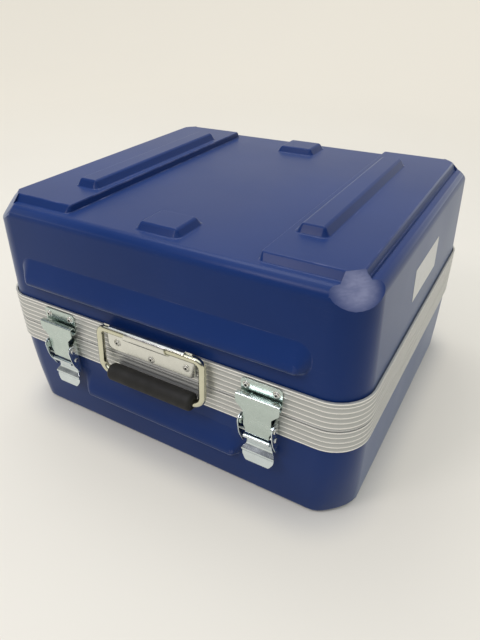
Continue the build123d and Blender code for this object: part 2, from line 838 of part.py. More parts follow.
# Hinges
def hinge_leaf(x, rises):
    """One leaf: rising on the lid with the middle knuckle, or falling on the base with the outer two."""
    mid_half_w = hinge_lid_knuckle_w / 2
    centre = (hinge_n, 0)
    plane = rear_side(x)
    if rises:
        low, high = hinge_notch, hinge_lid_rise
        neck = (0, hinge_notch + hinge_corner_r)
        columns = [(0, mid_half_w)]
    else:
        low, high = -hinge_base_drop, -hinge_notch
        neck = (-hinge_notch - hinge_corner_r, 0)
        outer_half_w = (hinge_half_w - mid_half_w - moving_gap) / 2
        outer_mid = hinge_half_w - outer_half_w
        columns = [(-outer_mid, outer_half_w), (outer_mid, outer_half_w)]
    rivet_v = hinge_rivet_v if rises else -hinge_rivet_v
    with BuildPart() as part:
        with BuildSketch(rear_face()) as leaf:
            with Locations((-x, (low + high) / 2)):
                Rectangle(2 * hinge_half_w, high - low)
            free = leaf.vertices().group_by(Axis.Z)[-1 if rises else 0]
            fillet(free, hinge_corner_r)
            with Locations(*[(-x + s * hinge_rivet_x, rivet_v) for s in (-1, 1)]):
                Circle(rivet_shank_r + pin_fit, mode=Mode.SUBTRACT)
        extrude(amount=hinge_leaf_t)
        for middle, half_w in columns:
            column = rear_side(x + middle)
            extrude(box_face(column, (0, neck[0]), (hinge_leaf_t, neck[1])), amount=half_w, both=True)
            extrude(discs(column, [centre], hinge_knuckle_r), amount=half_w, both=True)
            if rises:
                turn = radians(lid_open_angle)
                tab_plane = Plane(
                    origin=column.from_local_coords((*centre, 0)), x_dir=(0, cos(turn), sin(turn)), z_dir=(1, 0, 0)
                )
                tab_in = hinge_n - hinge_leaf_t - moving_gap
                tab = box_face(tab_plane, (-tab_in, -stop_reach), (hinge_leaf_t - tab_in, -hinge_pin_r - pin_fit))
                extrude(tab, amount=half_w, both=True)
        bore = discs(plane, [centre], hinge_pin_r + pin_fit)
        extrude(bore, amount=hinge_half_w, both=True, mode=Mode.SUBTRACT)
    return part.part


with BuildPart() as hinge_pins:
    for x in hinge_sides.values():
        extrude(
            discs(rear_side(x), [(hinge_n, 0)], hinge_pin_r), amount=hinge_half_w + hinge_pin_proud, both=True
        )

# Rivets, grouped by what they hold
with BuildPart() as keeper_rivets:
    for x, v in keeper_rivets_at:
        rivet(front_side(x), v, keeper_t, tail_seat(lid_inner_n(v)))

with BuildPart() as handle_rivets:
    for x, v in handle_rivets_at:
        rivet(front_side(x), v, handle_plate_t, tail_seat(lid_inner_n(v)))

with BuildPart() as latch_base_rivets:
    for x, v in latch_rivets_at:
        rivet(front_side(x), v, latch_plate_t, tail_seat(base_inner_n(v)))

with BuildPart() as hinge_lid_rivets:
    for x, v in hinge_lid_rivets_at:
        rivet(rear_side(x), v, hinge_leaf_t, tail_seat(lid_inner_n(v)))

with BuildPart() as hinge_base_rivets:
    for x, v in hinge_base_rivets_at:
        rivet(rear_side(x), v, hinge_leaf_t, tail_seat(base_inner_n(v)))

# Every node by name
nodes = {
    "base_shell": base_shell.part,
    "base_frame": base_frame.part,
    "frame_seal": frame_seal.part,
    "base_foam_pad": base_foam_pad.part,
    "base_foam_strips": base_foam_strips.part,
    "latch_base_rivets": latch_base_rivets.part,
    "hinge_base_rivets": hinge_base_rivets.part,
    "hinge_pins": hinge_pins.part,
    "lid_shell": lid_shell.part,
    "lid_frame": lid_frame.part,
    "lid_foam": lid_foam.part,
    "label_blank": label_blank.part,
    "handle_plate": handle_plate.part,
    "handle_rivets": handle_rivets.part,
    "keeper_rivets": keeper_rivets.part,
    "hinge_lid_rivets": hinge_lid_rivets.part,
    "handle_bail": handle_bail.part,
    "handle_grip": handle_grip.part,
}
for side, x in latch_sides.items():
    nodes[f"keeper_{side}"] = keeper(x)
    nodes[f"latch_base_{side}"] = latch_base(x)
    nodes[f"lever_pivots_{side}"] = lever_pivots(x)
    nodes[f"latch_lever_{side}"] = latch_lever(x)
    nodes[f"link_pin_{side}"] = link_pin(x)
    nodes[f"latch_link_{side}"] = latch_link(x)
for side, x in hinge_sides.items():
    nodes[f"hinge_base_leaf_{side}"] = hinge_leaf(x, rises=False)
    nodes[f"hinge_lid_leaf_{side}"] = hinge_leaf(x, rises=True)

for node_name, node_part in nodes.items():
    node_part.label = node_name
    export_step(node_part, f"parts/{node_name}.step")
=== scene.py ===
"""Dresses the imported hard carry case: shells, ribbed bands, latches, handle, hinges and foam.

Sizes are millimetres in the case's own frame: the origin is the centre of the underside, the front
faces -Y and +Z is up. Meshes are put into metres when they are finished.
"""
import json
import logging
import math
from dataclasses import dataclass
from enum import Enum
from typing import Callable, Optional, Sequence

import bmesh
import bpy
from mathutils import Matrix, Vector, noise


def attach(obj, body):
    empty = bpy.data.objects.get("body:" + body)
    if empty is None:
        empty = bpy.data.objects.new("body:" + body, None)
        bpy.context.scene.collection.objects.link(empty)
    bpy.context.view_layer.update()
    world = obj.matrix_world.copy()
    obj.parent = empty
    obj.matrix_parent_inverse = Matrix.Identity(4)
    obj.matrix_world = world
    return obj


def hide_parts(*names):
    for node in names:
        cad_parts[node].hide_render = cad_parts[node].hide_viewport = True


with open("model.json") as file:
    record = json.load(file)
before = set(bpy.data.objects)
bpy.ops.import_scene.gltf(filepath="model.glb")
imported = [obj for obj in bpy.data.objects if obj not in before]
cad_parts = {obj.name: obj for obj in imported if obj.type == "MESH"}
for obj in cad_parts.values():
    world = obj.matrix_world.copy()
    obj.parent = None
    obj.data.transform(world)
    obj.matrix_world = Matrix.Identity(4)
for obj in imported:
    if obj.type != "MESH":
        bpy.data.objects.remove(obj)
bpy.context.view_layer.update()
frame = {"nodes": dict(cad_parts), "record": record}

LOG = logging.getLogger("carry_case")
MM = 0.001
HALF_W = 225.0
HALF_D = 200.0
PARTING_Z = 122.0
CORNER_R = 40.0
LATCH_X = 129.3
HINGE_X = 129.0
# The colour sockets of a Mix node: its two inputs and its output
MIX_FIRST, MIX_SECOND, MIX_RESULT = 6, 7, 2

Pair = tuple[float, float]
Triple = tuple[float, float, float]
Rgba = tuple[float, float, float, float]
Outline = list[Pair]
Levels = list[tuple[float, list[float]]]
Edges = list[bmesh.types.BMEdge]
Socket = bpy.types.NodeSocket

# The hinge pins' distance out from the rear, and their height over the parting line
HINGE_PIN: Pair = (3.8, 0.0)


class Side(Enum):
    """Left or right of the case, seen from the front."""

    LEFT = -1
    RIGHT = 1

    @property
    def word(self) -> str:
        """The side's word in a piece's name."""
        return self.name.lower()


class Slot(Enum):
    """The record's material slots."""

    SHELL = "shell_plastic"
    BAND = "band_metal"
    SEAL = "seal_rubber"
    FOAM = "foam"
    HANDLE = "handle_steel"
    BAIL = "bail_steel"
    GRIP = "grip_plastic"
    LATCH = "latch_steel"
    LEVER = "lever_steel"
    PIN = "pin_steel"
    RIVET = "rivet_metal"
    HINGE = "hinge_steel"
    LABEL = "label"


class Crease(Enum):
    """The turn in degrees past which an edge of a kind of piece is shaded as a crease."""

    EXTRUDED = 25.0
    SHEET = 38.0
    MOULDED = 40.0
    TURNED = 40.0
    ROUND = 50.0
    FOAM = 60.0


# Each of these sets a flat drawing on the case: its x, its y and the way out of the surface
def front_frame(n: float) -> Matrix:
    """Drawing x is X, drawing y is the height over the parting line, and z is out of the front."""
    return Matrix(((1, 0, 0, 0), (0, 0, -1, -HALF_D - n), (0, 1, 0, PARTING_Z), (0, 0, 0, 1)))


def rear_frame(n: float) -> Matrix:
    """As the front's, but out of the rear, with drawing x as -X."""
    return Matrix(((-1, 0, 0, 0), (0, 0, 1, HALF_D + n), (0, 1, 0, PARTING_Z), (0, 0, 0, 1)))


def top_frame(z: float) -> Matrix:
    """Drawing x and y are X and Y, and z is up."""
    return Matrix.Translation((0, 0, z))


def side_frame(x: float) -> Matrix:
    """Seen on edge at the front: drawing x is out of the front, y is the height, z is X."""
    return Matrix(((0, 0, 1, x), (-1, 0, 0, -HALF_D), (0, 1, 0, PARTING_Z), (0, 0, 0, 1)))


def rear_side_frame(x: float) -> Matrix:
    """Seen on edge at the rear: drawing x is out of the rear, y is the height, z is X."""
    return Matrix(((0, 0, 1, x), (1, 0, 0, HALF_D), (0, 1, 0, PARTING_Z), (0, 0, 0, 1)))


def turned_frame(spot: Vector, across: Vector, up: Vector, out: Vector) -> Matrix:
    """Sets a drawing at a spot, by the directions of its x, its y and its z."""
    return Matrix.Translation(spot) @ Matrix((across, up, out)).transposed().to_4x4()


def sin_deg(turn: float) -> float:
    """The sine of an angle in degrees."""
    return math.sin(math.radians(turn))


def cos_deg(turn: float) -> float:
    """The cosine of an angle in degrees."""
    return math.cos(math.radians(turn))


def scene_object(name: str, data: bpy.types.ID) -> bpy.types.Object:
    """Adds an object with the given mesh, light or camera to the scene."""
    item = bpy.data.objects.new(name, data)
    bpy.context.scene.collection.objects.link(item)
    return item


# Outlines
def grown(points: Outline, amounts: Sequence[float]) -> Outline:
    """Moves each edge of a convex anticlockwise outline outwards.

    Args:
        points: The outline.
        amounts: How far each edge moves, the first being the edge after the first point.

    Returns:
        The new outline.
    """
    lines = []
    for (ax, ay), (bx, by), move in zip(points, [*points[1:], points[0]], amounts):
        length = math.hypot(bx - ax, by - ay)
        dx, dy = (bx - ax) / length, (by - ay) / length
        lines.append((ax + dy * move, ay - dx * move, dx, dy))
    made = []
    for (ax, ay, adx, ady), (bx, by, bdx, bdy) in zip([lines[-1], *lines[:-1]], lines):
        cross = adx * bdy - ady * bdx
        along = ((bx - ax) * bdy - (by - ay) * bdx) / cross
        made.append((ax + adx * along, ay + ady * along))
    return made


def rounded(points: Outline, radii: Sequence[float], steps: int) -> Outline:
    """Rounds the corners of an outline.

    Args:
        points: The outline.
        radii: One radius for each corner.
        steps: The number of runs round each corner.

    Returns:
        The outline with an arc in place of each corner.
    """
    made: Outline = []
    count = len(points)
    for i, (corner, radius) in enumerate(zip(points, radii)):
        here = Vector(corner)
        back = (Vector(points[i - 1]) - here).normalized()
        ahead = (Vector(points[(i + 1) % count]) - here).normalized()
        half = back.angle(ahead) / 2
        reach = radius / math.tan(half)
        centre = here + (back + ahead).normalized() * (radius / math.sin(half))
        first = here + back * reach - centre
        last = here + ahead * reach - centre
        turn = first.angle_signed(last)
        for k in range(steps + 1):
            spoke = first.copy()
            spoke.rotate(Matrix.Rotation(-turn * k / steps, 2))
            made.append(tuple(centre + spoke))
    return made


def rectangle(half_w: float, half_d: float, middle: Pair = (0.0, 0.0)) -> Outline:
    """An anticlockwise rectangle."""
    x, y = middle
    sides = ((-half_w, -half_d), (half_w, -half_d), (half_w, half_d), (-half_w, half_d))
    return [(x + across, y + along) for across, along in sides]


def bent_line(points: Outline, radii: Sequence[float], steps: int) -> Outline:
    """Rounds the inner corners of an open line.

    Args:
        points: The line.
        radii: One radius for each corner between the ends.
        steps: The number of runs round each corner.

    Returns:
        The line with arcs.
    """
    sharp = 0.01
    made = [points[0]]
    for i, radius in enumerate(radii, start=1):
        three = rounded(points[i - 1:i + 2], [sharp, radius, sharp], steps)
        made += three[steps + 1:-steps - 1]
    return [*made, points[-1]]


def arc(centre: Pair, radius: float, start: float, sweep: float, steps: int) -> Outline:
    """Points along an arc, with angles in degrees."""
    turns = [start + sweep * k / steps for k in range(steps + 1)]
    return [(centre[0] + radius * cos_deg(t), centre[1] + radius * sin_deg(t)) for t in turns]


class Form:
    """A mesh in the making, in millimetres."""

    def __init__(self) -> None:
        """Starts an empty mesh."""
        self.bm = bmesh.new()

    def ring(self, points: Sequence[Pair], place: Matrix, height: float = 0.0) -> Edges:
        """Draws a closed loop.

        Args:
            points: The loop's points on its drawing.
            place: Where the drawing is set.
            height: How far off the drawing the loop stands.

        Returns:
            The loop's edges.
        """
        verts = [self.bm.verts.new(place @ Vector((x, y, height))) for x, y in points]
        return [self.bm.edges.new((a, b)) for a, b in zip(verts, [*verts[1:], verts[0]])]

    def skinned(self, rows: Sequence[Edges]) -> "Form":
        """Lays faces from each row of edges to the next."""
        for low, high in zip(rows, rows[1:]):
            bmesh.ops.bridge_loops(self.bm, edges=[*low, *high])
        return self

    def stack(self, loops: Sequence[Edges]) -> "Form":
        """Skins a row of loops, and closes the first and the last."""
        self.skinned(loops)
        for loop in (loops[0], loops[-1]):
            bmesh.ops.contextual_create(self.bm, geom=loop)
        return self.outward()

    def prism(self, points: Outline, place: Matrix, depth: float, both: bool = False) -> "Form":
        """Draws an outline and pulls it out of its drawing."""
        low = -depth if both else 0.0
        return self.stack([self.ring(points, place, low), self.ring(points, place, depth)])

    def lathe(self, profile: Outline, place: Matrix, steps: int) -> "Form":
        """Turns a profile, given as distance from the axis and height, round the drawing's z axis.

        Args:
            profile: A line that starts and ends on the axis, or a closed loop if its ends meet.
            place: Where the axis stands.
            steps: The number of runs in the turn.

        Returns:
            The form itself.
        """
        verts = [self.bm.verts.new(place @ Vector((r, 0, h))) for r, h in profile]
        edges = [self.bm.edges.new(pair) for pair in zip(verts, verts[1:])]
        axis = place.to_3x3() @ Vector((0, 0, 1))
        bmesh.ops.spin(
            self.bm, geom=[*verts, *edges], cent=place.translation, axis=axis,
            angle=math.tau, steps=steps, use_merge=True,
        )
        bmesh.ops.remove_doubles(self.bm, verts=self.bm.verts, dist=0.001)
        return self.outward()

    def drape(self, rows: Sequence[Sequence[Vector]]) -> "Form":
        """Makes an open sheet from rows of points."""
        lines = []
        for row in rows:
            verts = [self.bm.verts.new(p) for p in row]
            lines.append([self.bm.edges.new(pair) for pair in zip(verts, verts[1:])])
        return self.skinned(lines)

    def bevelled(self, edges: Edges, width: float, segments: int) -> list[bmesh.types.BMFace]:
        """Rounds the given edges, and returns the faces of the roundings."""
        return bmesh.ops.bevel(
            self.bm, geom=edges, offset=width, segments=segments, profile=0.5, affect="EDGES",
            clamp_overlap=True, material=-1,
        )["faces"]

    def round_edges(self, width: float, angle: float = 40.0, segments: int = 2) -> "Form":
        """Rounds every edge that turns more than an angle."""
        limit = math.radians(angle)
        joints = [e for e in self.bm.edges if len(e.link_faces) == 2]
        self.bevelled([e for e in joints if e.calc_face_angle(0) > limit], width, segments)
        return self

    def outward(self) -> "Form":
        """Turns the faces outwards."""
        bmesh.ops.recalc_face_normals(self.bm, faces=self.bm.faces)
        return self

    def ease_round(self, name: str, width: float, segments: int = 3) -> "Form":
        """Rounds the rim of the faces marked over a half, and gives the roundings a half."""
        half = 0.5
        layer = self.bm.faces.layers.float[name]
        joints = [e for e in self.bm.edges if len(e.link_faces) == 2]
        rim = [e for e in joints if len({face[layer] > half for face in e.link_faces}) == 2]
        for face in self.bevelled(rim, width, segments):
            face[layer] = half
        return self

    def mark_narrow(self, name: str, width: float) -> "Form":
        """Marks the faces that are narrower than a width, which are the roundings of edges."""
        def narrow(face: bmesh.types.BMFace) -> bool:
            """Whether a face's area over its longest edge is less than the width."""
            return face.calc_area() < width * max(e.calc_length() for e in face.edges)

        return self.mark(name, narrow)

    def mark(self, name: str, test: Callable[[bmesh.types.BMFace], float]) -> "Form":
        """Writes each face's answer to a test into a face attribute, for a finish to read."""
        layer = self.bm.faces.layers.float.new(name)
        for face in self.bm.faces:
            face[layer] = float(test(face))
        return self

    def join(self, *others: "Form") -> "Form":
        """Takes in other forms as separate solids."""
        for other in others:
            mesh = other.to_mesh("joined")
            self.bm.from_mesh(mesh)
            bpy.data.meshes.remove(mesh)
        return self

    def to_mesh(self, name: str) -> bpy.types.Mesh:
        """Writes the form out as a mesh in millimetres, and frees it."""
        mesh = bpy.data.meshes.new(name)
        self.bm.to_mesh(mesh)
        self.bm.free()
        return mesh

    def combined(self, others: Sequence["Form"], operation: str = "UNION") -> "Form":
        """Joins or cuts with other solids.

        Args:
            others: The solids to join or cut with, in order.
            operation: UNION, DIFFERENCE or INTERSECT.

        Returns:
            A new form.
        """
        base = scene_object("work", self.to_mesh("work"))
        tools = []
        for other in others:
            tool = scene_object("work_tool", other.to_mesh("work_tool"))
            tools.append(tool)
            cut = base.modifiers.new("work", "BOOLEAN")
            cut.operation = operation
            cut.solver = "EXACT"
            cut.object = tool
        graph = bpy.context.evaluated_depsgraph_get()
        mesh = bpy.data.meshes.new_from_object(base.evaluated_get(graph))
        made = Form()
        made.bm.from_mesh(mesh)
        for item in (base, *tools):
            data = item.data
            bpy.data.objects.remove(item)
            bpy.data.meshes.remove(data)
        bpy.data.meshes.remove(mesh)
        return made


@dataclass(frozen=True)
class Piece:
    """What a finished piece is called, rides on, is made of and stands for, and its shading."""

    name: str
    body: str
    slot: Slot
    replaces: tuple[str, ...]
    crease: Crease

    def finish(self, form: Form, finishes: "Finishes", even: bool = True) -> bpy.types.Object:
        """Puts a form into the scene.

        Args:
            form: The form, in millimetres.
            finishes: Every finish on the case.
            even: Whether large faces set the shading of the roundings beside them.

        Returns:
            The object.
        """
        bmesh.ops.scale(form.bm, vec=(MM, MM, MM), verts=form.bm.verts)
        mesh = form.to_mesh(self.name)
        mesh.shade_smooth()
        mesh.set_sharp_from_angle(angle=math.radians(self.crease.value))
        mesh.materials.append(finishes.by_slot[self.slot])
        piece = scene_object(self.name, mesh)
        if even:
            weighted = piece.modifiers.new("even_shading", "WEIGHTED_NORMAL")
            weighted.keep_sharp = True
        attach(piece, self.body)
        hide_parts(*self.replaces)
        LOG.info("made %s on %s", self.name, self.body)
        return piece


# Materials
def rgba(color: Triple, share: float = 1.0) -> Rgba:
    """A share of a colour, as a socket takes it."""
    red, green, blue = color
    return (red * share, green * share, blue * share, 1.0)


class Nodes:
    """A short hand for wiring one node tree."""

    def __init__(self, tree: bpy.types.NodeTree) -> None:
        """Keeps the tree."""
        self.tree = tree

    def feed(self, socket: Socket, value: object) -> None:
        """Sets a socket's value or links an output to it."""
        if isinstance(value, Socket):
            self.tree.links.new(value, socket)
        else:
            socket.default_value = value

    def dress(self, node: bpy.types.Node, **sockets: object) -> bpy.types.Node:
        """Feeds a node's inputs by their names.

        Args:
            node: The node.
            **sockets: A value or an output for each named input, with _ for a space.

        Returns:
            The node itself.
        """
        for key, value in sockets.items():
            name = key.replace("_", " ")
            self.feed(next(s for s in node.inputs if s.name == name and s.enabled), value)
        return node

    def add(self, kind: str, settings: Optional[dict] = None, **sockets: object) -> bpy.types.Node:
        """Adds a node.

        Args:
            kind: The node's type, without ShaderNode.
            settings: Its own settings.
            **sockets: What its inputs are fed, as in dress.

        Returns:
            The node.
        """
        node = self.tree.nodes.new("ShaderNode" + kind)
        for key, value in (settings or {}).items():
            setattr(node, key, value)
        return self.dress(node, **sockets)

    def group(self, tree: bpy.types.NodeTree, **sockets: object) -> bpy.types.Node:
        """Places a shared effect."""
        return self.add("Group", {"node_tree": tree}, **sockets)

    def place(self, scale: Triple = (1, 1, 1), turn: Triple = (0, 0, 0)) -> Socket:
        """The object's own coordinates, scaled and turned."""
        where = self.add("TexCoord").outputs["Object"]
        return self.add("Mapping", Vector=where, Scale=scale, Rotation=turn).outputs["Vector"]

    def attribute(self, name: str) -> Socket:
        """What a form's faces were marked with."""
        return self.add("Attribute", {"attribute_name": name}).outputs["Fac"]

    def hollows(self, low: float, high: float) -> Socket:
        """One in a hollow, falling to nothing where the surface is flat."""
        return self.ramp(self.add("NewGeometry").outputs["Pointiness"], low, high, (1.0, 0.0))

    def noise(self, vector: object, scale: float, detail: float, rough: float = 0.5) -> Socket:
        """A noise value."""
        node = self.add("TexNoise", Vector=vector, Scale=scale, Detail=detail, Roughness=rough)
        return node.outputs["Fac"]

    def ramp(self, value: object, low: float, high: float, out: Pair = (0.0, 1.0)) -> Socket:
        """Spreads a value between two limits."""
        return self.add(
            "MapRange", {"interpolation_type": "SMOOTHSTEP"}, Value=value, From_Min=low,
            From_Max=high, To_Min=out[0], To_Max=out[1],
        ).outputs["Result"]

    def sums(self, operation: str, first: object, second: object = 0.0) -> Socket:
        """One step of arithmetic."""
        node = self.add("Math", {"operation": operation})
        self.feed(node.inputs[0], first)
        self.feed(node.inputs[1], second)
        return node.outputs[0]

    def times(self, first: object, second: object) -> Socket:
        """The product of two values."""
        return self.sums("MULTIPLY", first, second)

    def plus(self, first: object, second: object) -> Socket:
        """The sum of two values."""
        return self.sums("ADD", first, second)

    def vectors(
        self, operation: str, first: Socket, second: Triple = (0.0, 0.0, 0.0)
    ) -> bpy.types.Node:
        """One step of arithmetic with vectors."""
        node = self.add("VectorMath", {"operation": operation})
        self.feed(node.inputs[0], first)
        self.feed(node.inputs[1], second)
        return node

    def mix(self, amount: object, first: object, second: object) -> Socket:
        """Mixes two colours."""
        node = self.add("Mix", {"data_type": "RGBA"})
        self.feed(node.inputs[0], amount)
        self.feed(node.inputs[MIX_FIRST], first)
        self.feed(node.inputs[MIX_SECOND], second)
        return node.outputs[MIX_RESULT]

    def bump(
        self, height: object, strength: float, distance: float, normal: Optional[Socket] = None
    ) -> Socket:
        """Turns a height into a normal, over another normal if one is given."""
        node = self.add("Bump", Height=height, Strength=strength, Distance=distance)
        if normal is not None:
            self.feed(node.inputs["Normal"], normal)
        return node.outputs["Normal"]


def new_group(
    name: str, inputs: dict[str, Optional[float]], output: str
) -> tuple[Nodes, bpy.types.Node, bpy.types.Node]:
    """Starts a shared effect that gives one value.

    Args:
        name: The group's name.
        inputs: Each input's default, or None for a vector.
        output: The output's name.

    Returns:
        The group's wiring, its input node and its output node.
    """
    tree = bpy.data.node_groups.new(name, "ShaderNodeTree")
    for key, default in inputs.items():
        kind = "NodeSocketVector" if default is None else "NodeSocketFloat"
        socket = tree.interface.new_socket(key, in_out="INPUT", socket_type=kind)
        if default is not None:
            socket.default_value = default
    tree.interface.new_socket(output, in_out="OUTPUT", socket_type="NodeSocketFloat")
    start, end = tree.nodes.new("NodeGroupInput"), tree.nodes.new("NodeGroupOutput")
    return Nodes(tree), start, end


class Effects:
    """The effects that several finishes share."""

    def __init__(self) -> None:
        """Builds each effect once."""
        self.grain = self._grain()
        self.scratches = self._scratches()
        self.worn_edges = self._worn_edges()
        self.streaks = self._streaks()

    @staticmethod
    def _grain() -> bpy.types.NodeTree:
        """The fine pebble of a moulded surface, as a height."""
        wires, start, end = new_group("moulded_grain", {"Vector": None, "Size": 900.0}, "Height")
        where, size = start.outputs["Vector"], start.outputs["Size"]
        cells = wires.add("TexVoronoi", {"feature": "SMOOTH_F1"}, Vector=where, Scale=size)
        fine = wires.add("TexNoise", Vector=where, Detail=2.0, Scale=size)
        total = wires.plus(cells.outputs["Distance"], wires.times(fine.outputs["Fac"], 0.6))
        wires.feed(end.inputs["Height"], total)
        return wires.tree

    @staticmethod
    def _scratches() -> bpy.types.NodeTree:
        """Short fine scratches in a few directions, as a mask."""
        wires, start, end = new_group("fine_scratches", {"Vector": None, "Amount": 0.5}, "Mask")
        where = start.outputs["Vector"]
        total: object = 0.0
        for turn, stretch, scale in ((0.5, 22.0, 34.0), (-0.9, 18.0, 27.0), (2.2, 26.0, 41.0)):
            way = (turn * 0.7, turn, turn * 1.3)
            drawn = wires.add("Mapping", Vector=where, Rotation=way, Scale=(1.0, stretch, stretch))
            line = wires.noise(drawn.outputs["Vector"], scale, 1.0)
            patch = wires.ramp(wires.noise(where, scale * 0.5, 2.0), 0.56, 0.66)
            apart = wires.sums("ABSOLUTE", wires.sums("SUBTRACT", line, 0.5))
            thin = wires.ramp(apart, 0.0, 0.012, (1.0, 0.0))
            total = wires.sums("MAXIMUM", total, wires.times(thin, patch))
        wires.feed(end.inputs["Mask"], wires.times(total, start.outputs["Amount"]))
        return wires.tree

    @staticmethod
    def _worn_edges() -> bpy.types.NodeTree:
        """Where outer edges have been worn, as a mask."""
        wires, start, end = new_group(
            "worn_edges", {"Vector": None, "Reach": 0.06, "Amount": 0.5}, "Mask"
        )
        raised = wires.sums("SUBTRACT", wires.add("NewGeometry").outputs["Pointiness"], 0.5)
        edge = wires.add("MapRange", Value=raised, From_Max=start.outputs["Reach"])
        broken = wires.ramp(wires.noise(start.outputs["Vector"], 60.0, 6.0, 0.65), 0.4, 0.68)
        mask = wires.times(edge.outputs["Result"], broken)
        wires.feed(end.inputs["Mask"], wires.times(mask, start.outputs["Amount"]))
        return wires.tree

    @staticmethod
    def _streaks() -> bpy.types.NodeTree:
        """The lines that rolling or drawing leaves in metal, as a value round a half."""
        wires, start, end = new_group("drawn_streaks", {"Vector": None, "Scale": 1.0}, "Value")
        where, scale = start.outputs["Vector"], start.outputs["Scale"]
        broad = wires.add("TexNoise", Vector=where, Scale=scale, Detail=6.0, Roughness=0.7)
        wires.feed(end.inputs["Value"], broad.outputs["Fac"])
        return wires.tree


def new_material(name: str) -> tuple[bpy.types.Material, Nodes, bpy.types.Node]:
    """Starts a material.

    Args:
        name: The finish's name.

    Returns:
        The material, its wiring and its surface node.
    """
    material = bpy.data.materials.new(name)
    material.use_nodes = True
    return material, Nodes(material.node_tree), material.node_tree.nodes["Principled BSDF"]


@dataclass(frozen=True)
class MouldedPlastic:
    """Thermoformed shell plastic: deep blue, fine grained, worn edges with a painted highlight,
    scuffed corners.
    """

    color: Triple = (0.0042, 0.025, 0.124)
    # Lighter colour of the edge roundings: partly wear, partly a painted highlight along them
    worn_and_highlit: Triple = (0.20, 0.21, 0.34)
    scuffed: Triple = (0.34, 0.35, 0.47)
    sheen_tint: Triple = (0.82, 0.92, 1.0)
    roughness: float = 0.31
    specular: float = 0.16
    sheen: float = 0.27
    sheen_roughness: float = 0.35
    grain_size: float = 900.0
    scuff_share: float = 0.62
    scuff_centre: Triple = (0.2005, 0.1775, 0.2620)
    scuff_reach: Pair = (0.008, 0.027)
    scuff_rest: float = 0.05

    def scuffs(self, wires: Nodes, here: Socket) -> Socket:
        """How far a corner's facets are scuffed: patches and short rubs that fade from its tip."""
        patch = wires.ramp(wires.noise(here, 42.0, 3.0), 0.34, 0.66, (0.62, 1.0))
        slanted = wires.place((40.0, 40.0, 160.0), (0.5, 0.3, 0.2))
        rubs = wires.ramp(wires.noise(slanted, 3.0, 3.0), 0.4, 0.62, (0.85, 1.0))
        corner = wires.vectors("ABSOLUTE", here).outputs["Vector"]
        apart = wires.vectors("DISTANCE", corner, self.scuff_centre).outputs["Value"]
        fade = wires.ramp(apart, *self.scuff_reach, (1.0, self.scuff_rest))
        return wires.times(wires.times(wires.attribute("scuff"), fade), wires.times(patch, rubs))

    def build(self, effects: Effects) -> bpy.types.Material:
        """Makes the material."""
        material, wires, surface = new_material("shell_blue")
        here = wires.place()
        cloud = wires.ramp(wires.noise(here, 5.0, 3.0), 0.3, 0.7)
        tone = wires.mix(cloud, rgba(self.color, 0.93), rgba(self.color, 1.07))
        marks = wires.group(effects.scratches, Vector=here, Amount=0.05).outputs["Mask"]
        # Painted highlight and wear: the edge roundings are lightened in broken patches, and fine
        # scratches join them
        broken = wires.ramp(wires.noise(here, 45.0, 5.0, 0.6), 0.42, 0.7, (0.03, 0.30))
        wear_and_highlight = wires.sums("MAXIMUM", marks, wires.times(wires.attribute("edge"), broken))
        scuff = self.scuffs(wires, here)
        tone = wires.mix(wear_and_highlight, tone, rgba(self.worn_and_highlit))
        tone = wires.mix(wires.times(scuff, self.scuff_share), tone, rgba(self.scuffed))
        limits = (self.roughness - 0.01, self.roughness + 0.03)
        smear = wires.ramp(wires.noise(here, 9.0, 2.0), 0.35, 0.7, limits)
        harder = wires.plus(wires.times(wear_and_highlight, 0.2), wires.times(scuff, 0.22))
        grain = wires.group(effects.grain, Vector=here, Size=self.grain_size).outputs["Height"]
        fine = wires.bump(grain, 0.20, 0.00012)
        waves = wires.bump(wires.noise(here, 14.0, 1.0, 0.3), 0.05, 0.0006, fine)
        wires.dress(
            surface, Base_Color=tone, Roughness=wires.plus(smear, harder), Normal=waves,
            Specular_IOR_Level=self.specular, Sheen_Weight=self.sheen,
            Sheen_Roughness=self.sheen_roughness, Sheen_Tint=rgba(self.sheen_tint),
        )
        return material


@dataclass(frozen=True)
class DrawnAluminium:
    """Ribbed extrusion: streaked satin aluminium, painted shade in its flutes, a painted highlight
    on its ridges.
    """

    color: Triple = (0.50, 0.505, 0.48)
    # Painted shade for the flutes
    dirt_and_shade: Triple = (0.30, 0.29, 0.26)
    # Painted highlight for the ridge tops
    bright: Triple = (0.95, 0.93, 0.87)
    roughness: float = 0.44
    metallic: float = 0.65
    hollow_shade_share: float = 0.3
    ridge_highlight_share: float = 0.85
    polish: float = 0.16

    def build(self, effects: Effects) -> bpy.types.Material:
        """Makes the material."""
        material, wires, surface = new_material("band_aluminium")
        along = wires.place((3.0, 3.0, 900.0))
        streak = wires.group(effects.streaks, Vector=along, Scale=1.0).outputs["Value"]
        patch = wires.noise(wires.place(), 11.0, 4.0, 0.6)
        tone = wires.mix(wires.ramp(streak, 0.3, 0.7), rgba(self.color, 0.92), rgba(self.color))
        # Painted shade: the flutes, found by their pointiness, are darkened
        flute_shade = wires.times(wires.hollows(0.44, 0.497), self.hollow_shade_share)
        tone = wires.mix(flute_shade, tone, rgba(self.dirt_and_shade))
        # Painted highlight: the ridge tops are lightened, and their roughness is lowered too
        ridge = wires.attribute("ridge")
        tone = wires.mix(wires.times(ridge, self.ridge_highlight_share), tone, rgba(self.bright))
        spread = wires.ramp(streak, 0.25, 0.75, (self.roughness - 0.05, self.roughness + 0.08))
        spread = wires.sums("SUBTRACT", spread, wires.times(ridge, self.polish))
        wires.dress(
            surface, Base_Color=tone, Metallic=self.metallic,
            Roughness=wires.plus(spread, wires.ramp(patch, 0.4, 0.75, (0.0, 0.06))),
            Normal=wires.bump(streak, 0.06, 0.0002),
        )
        return material


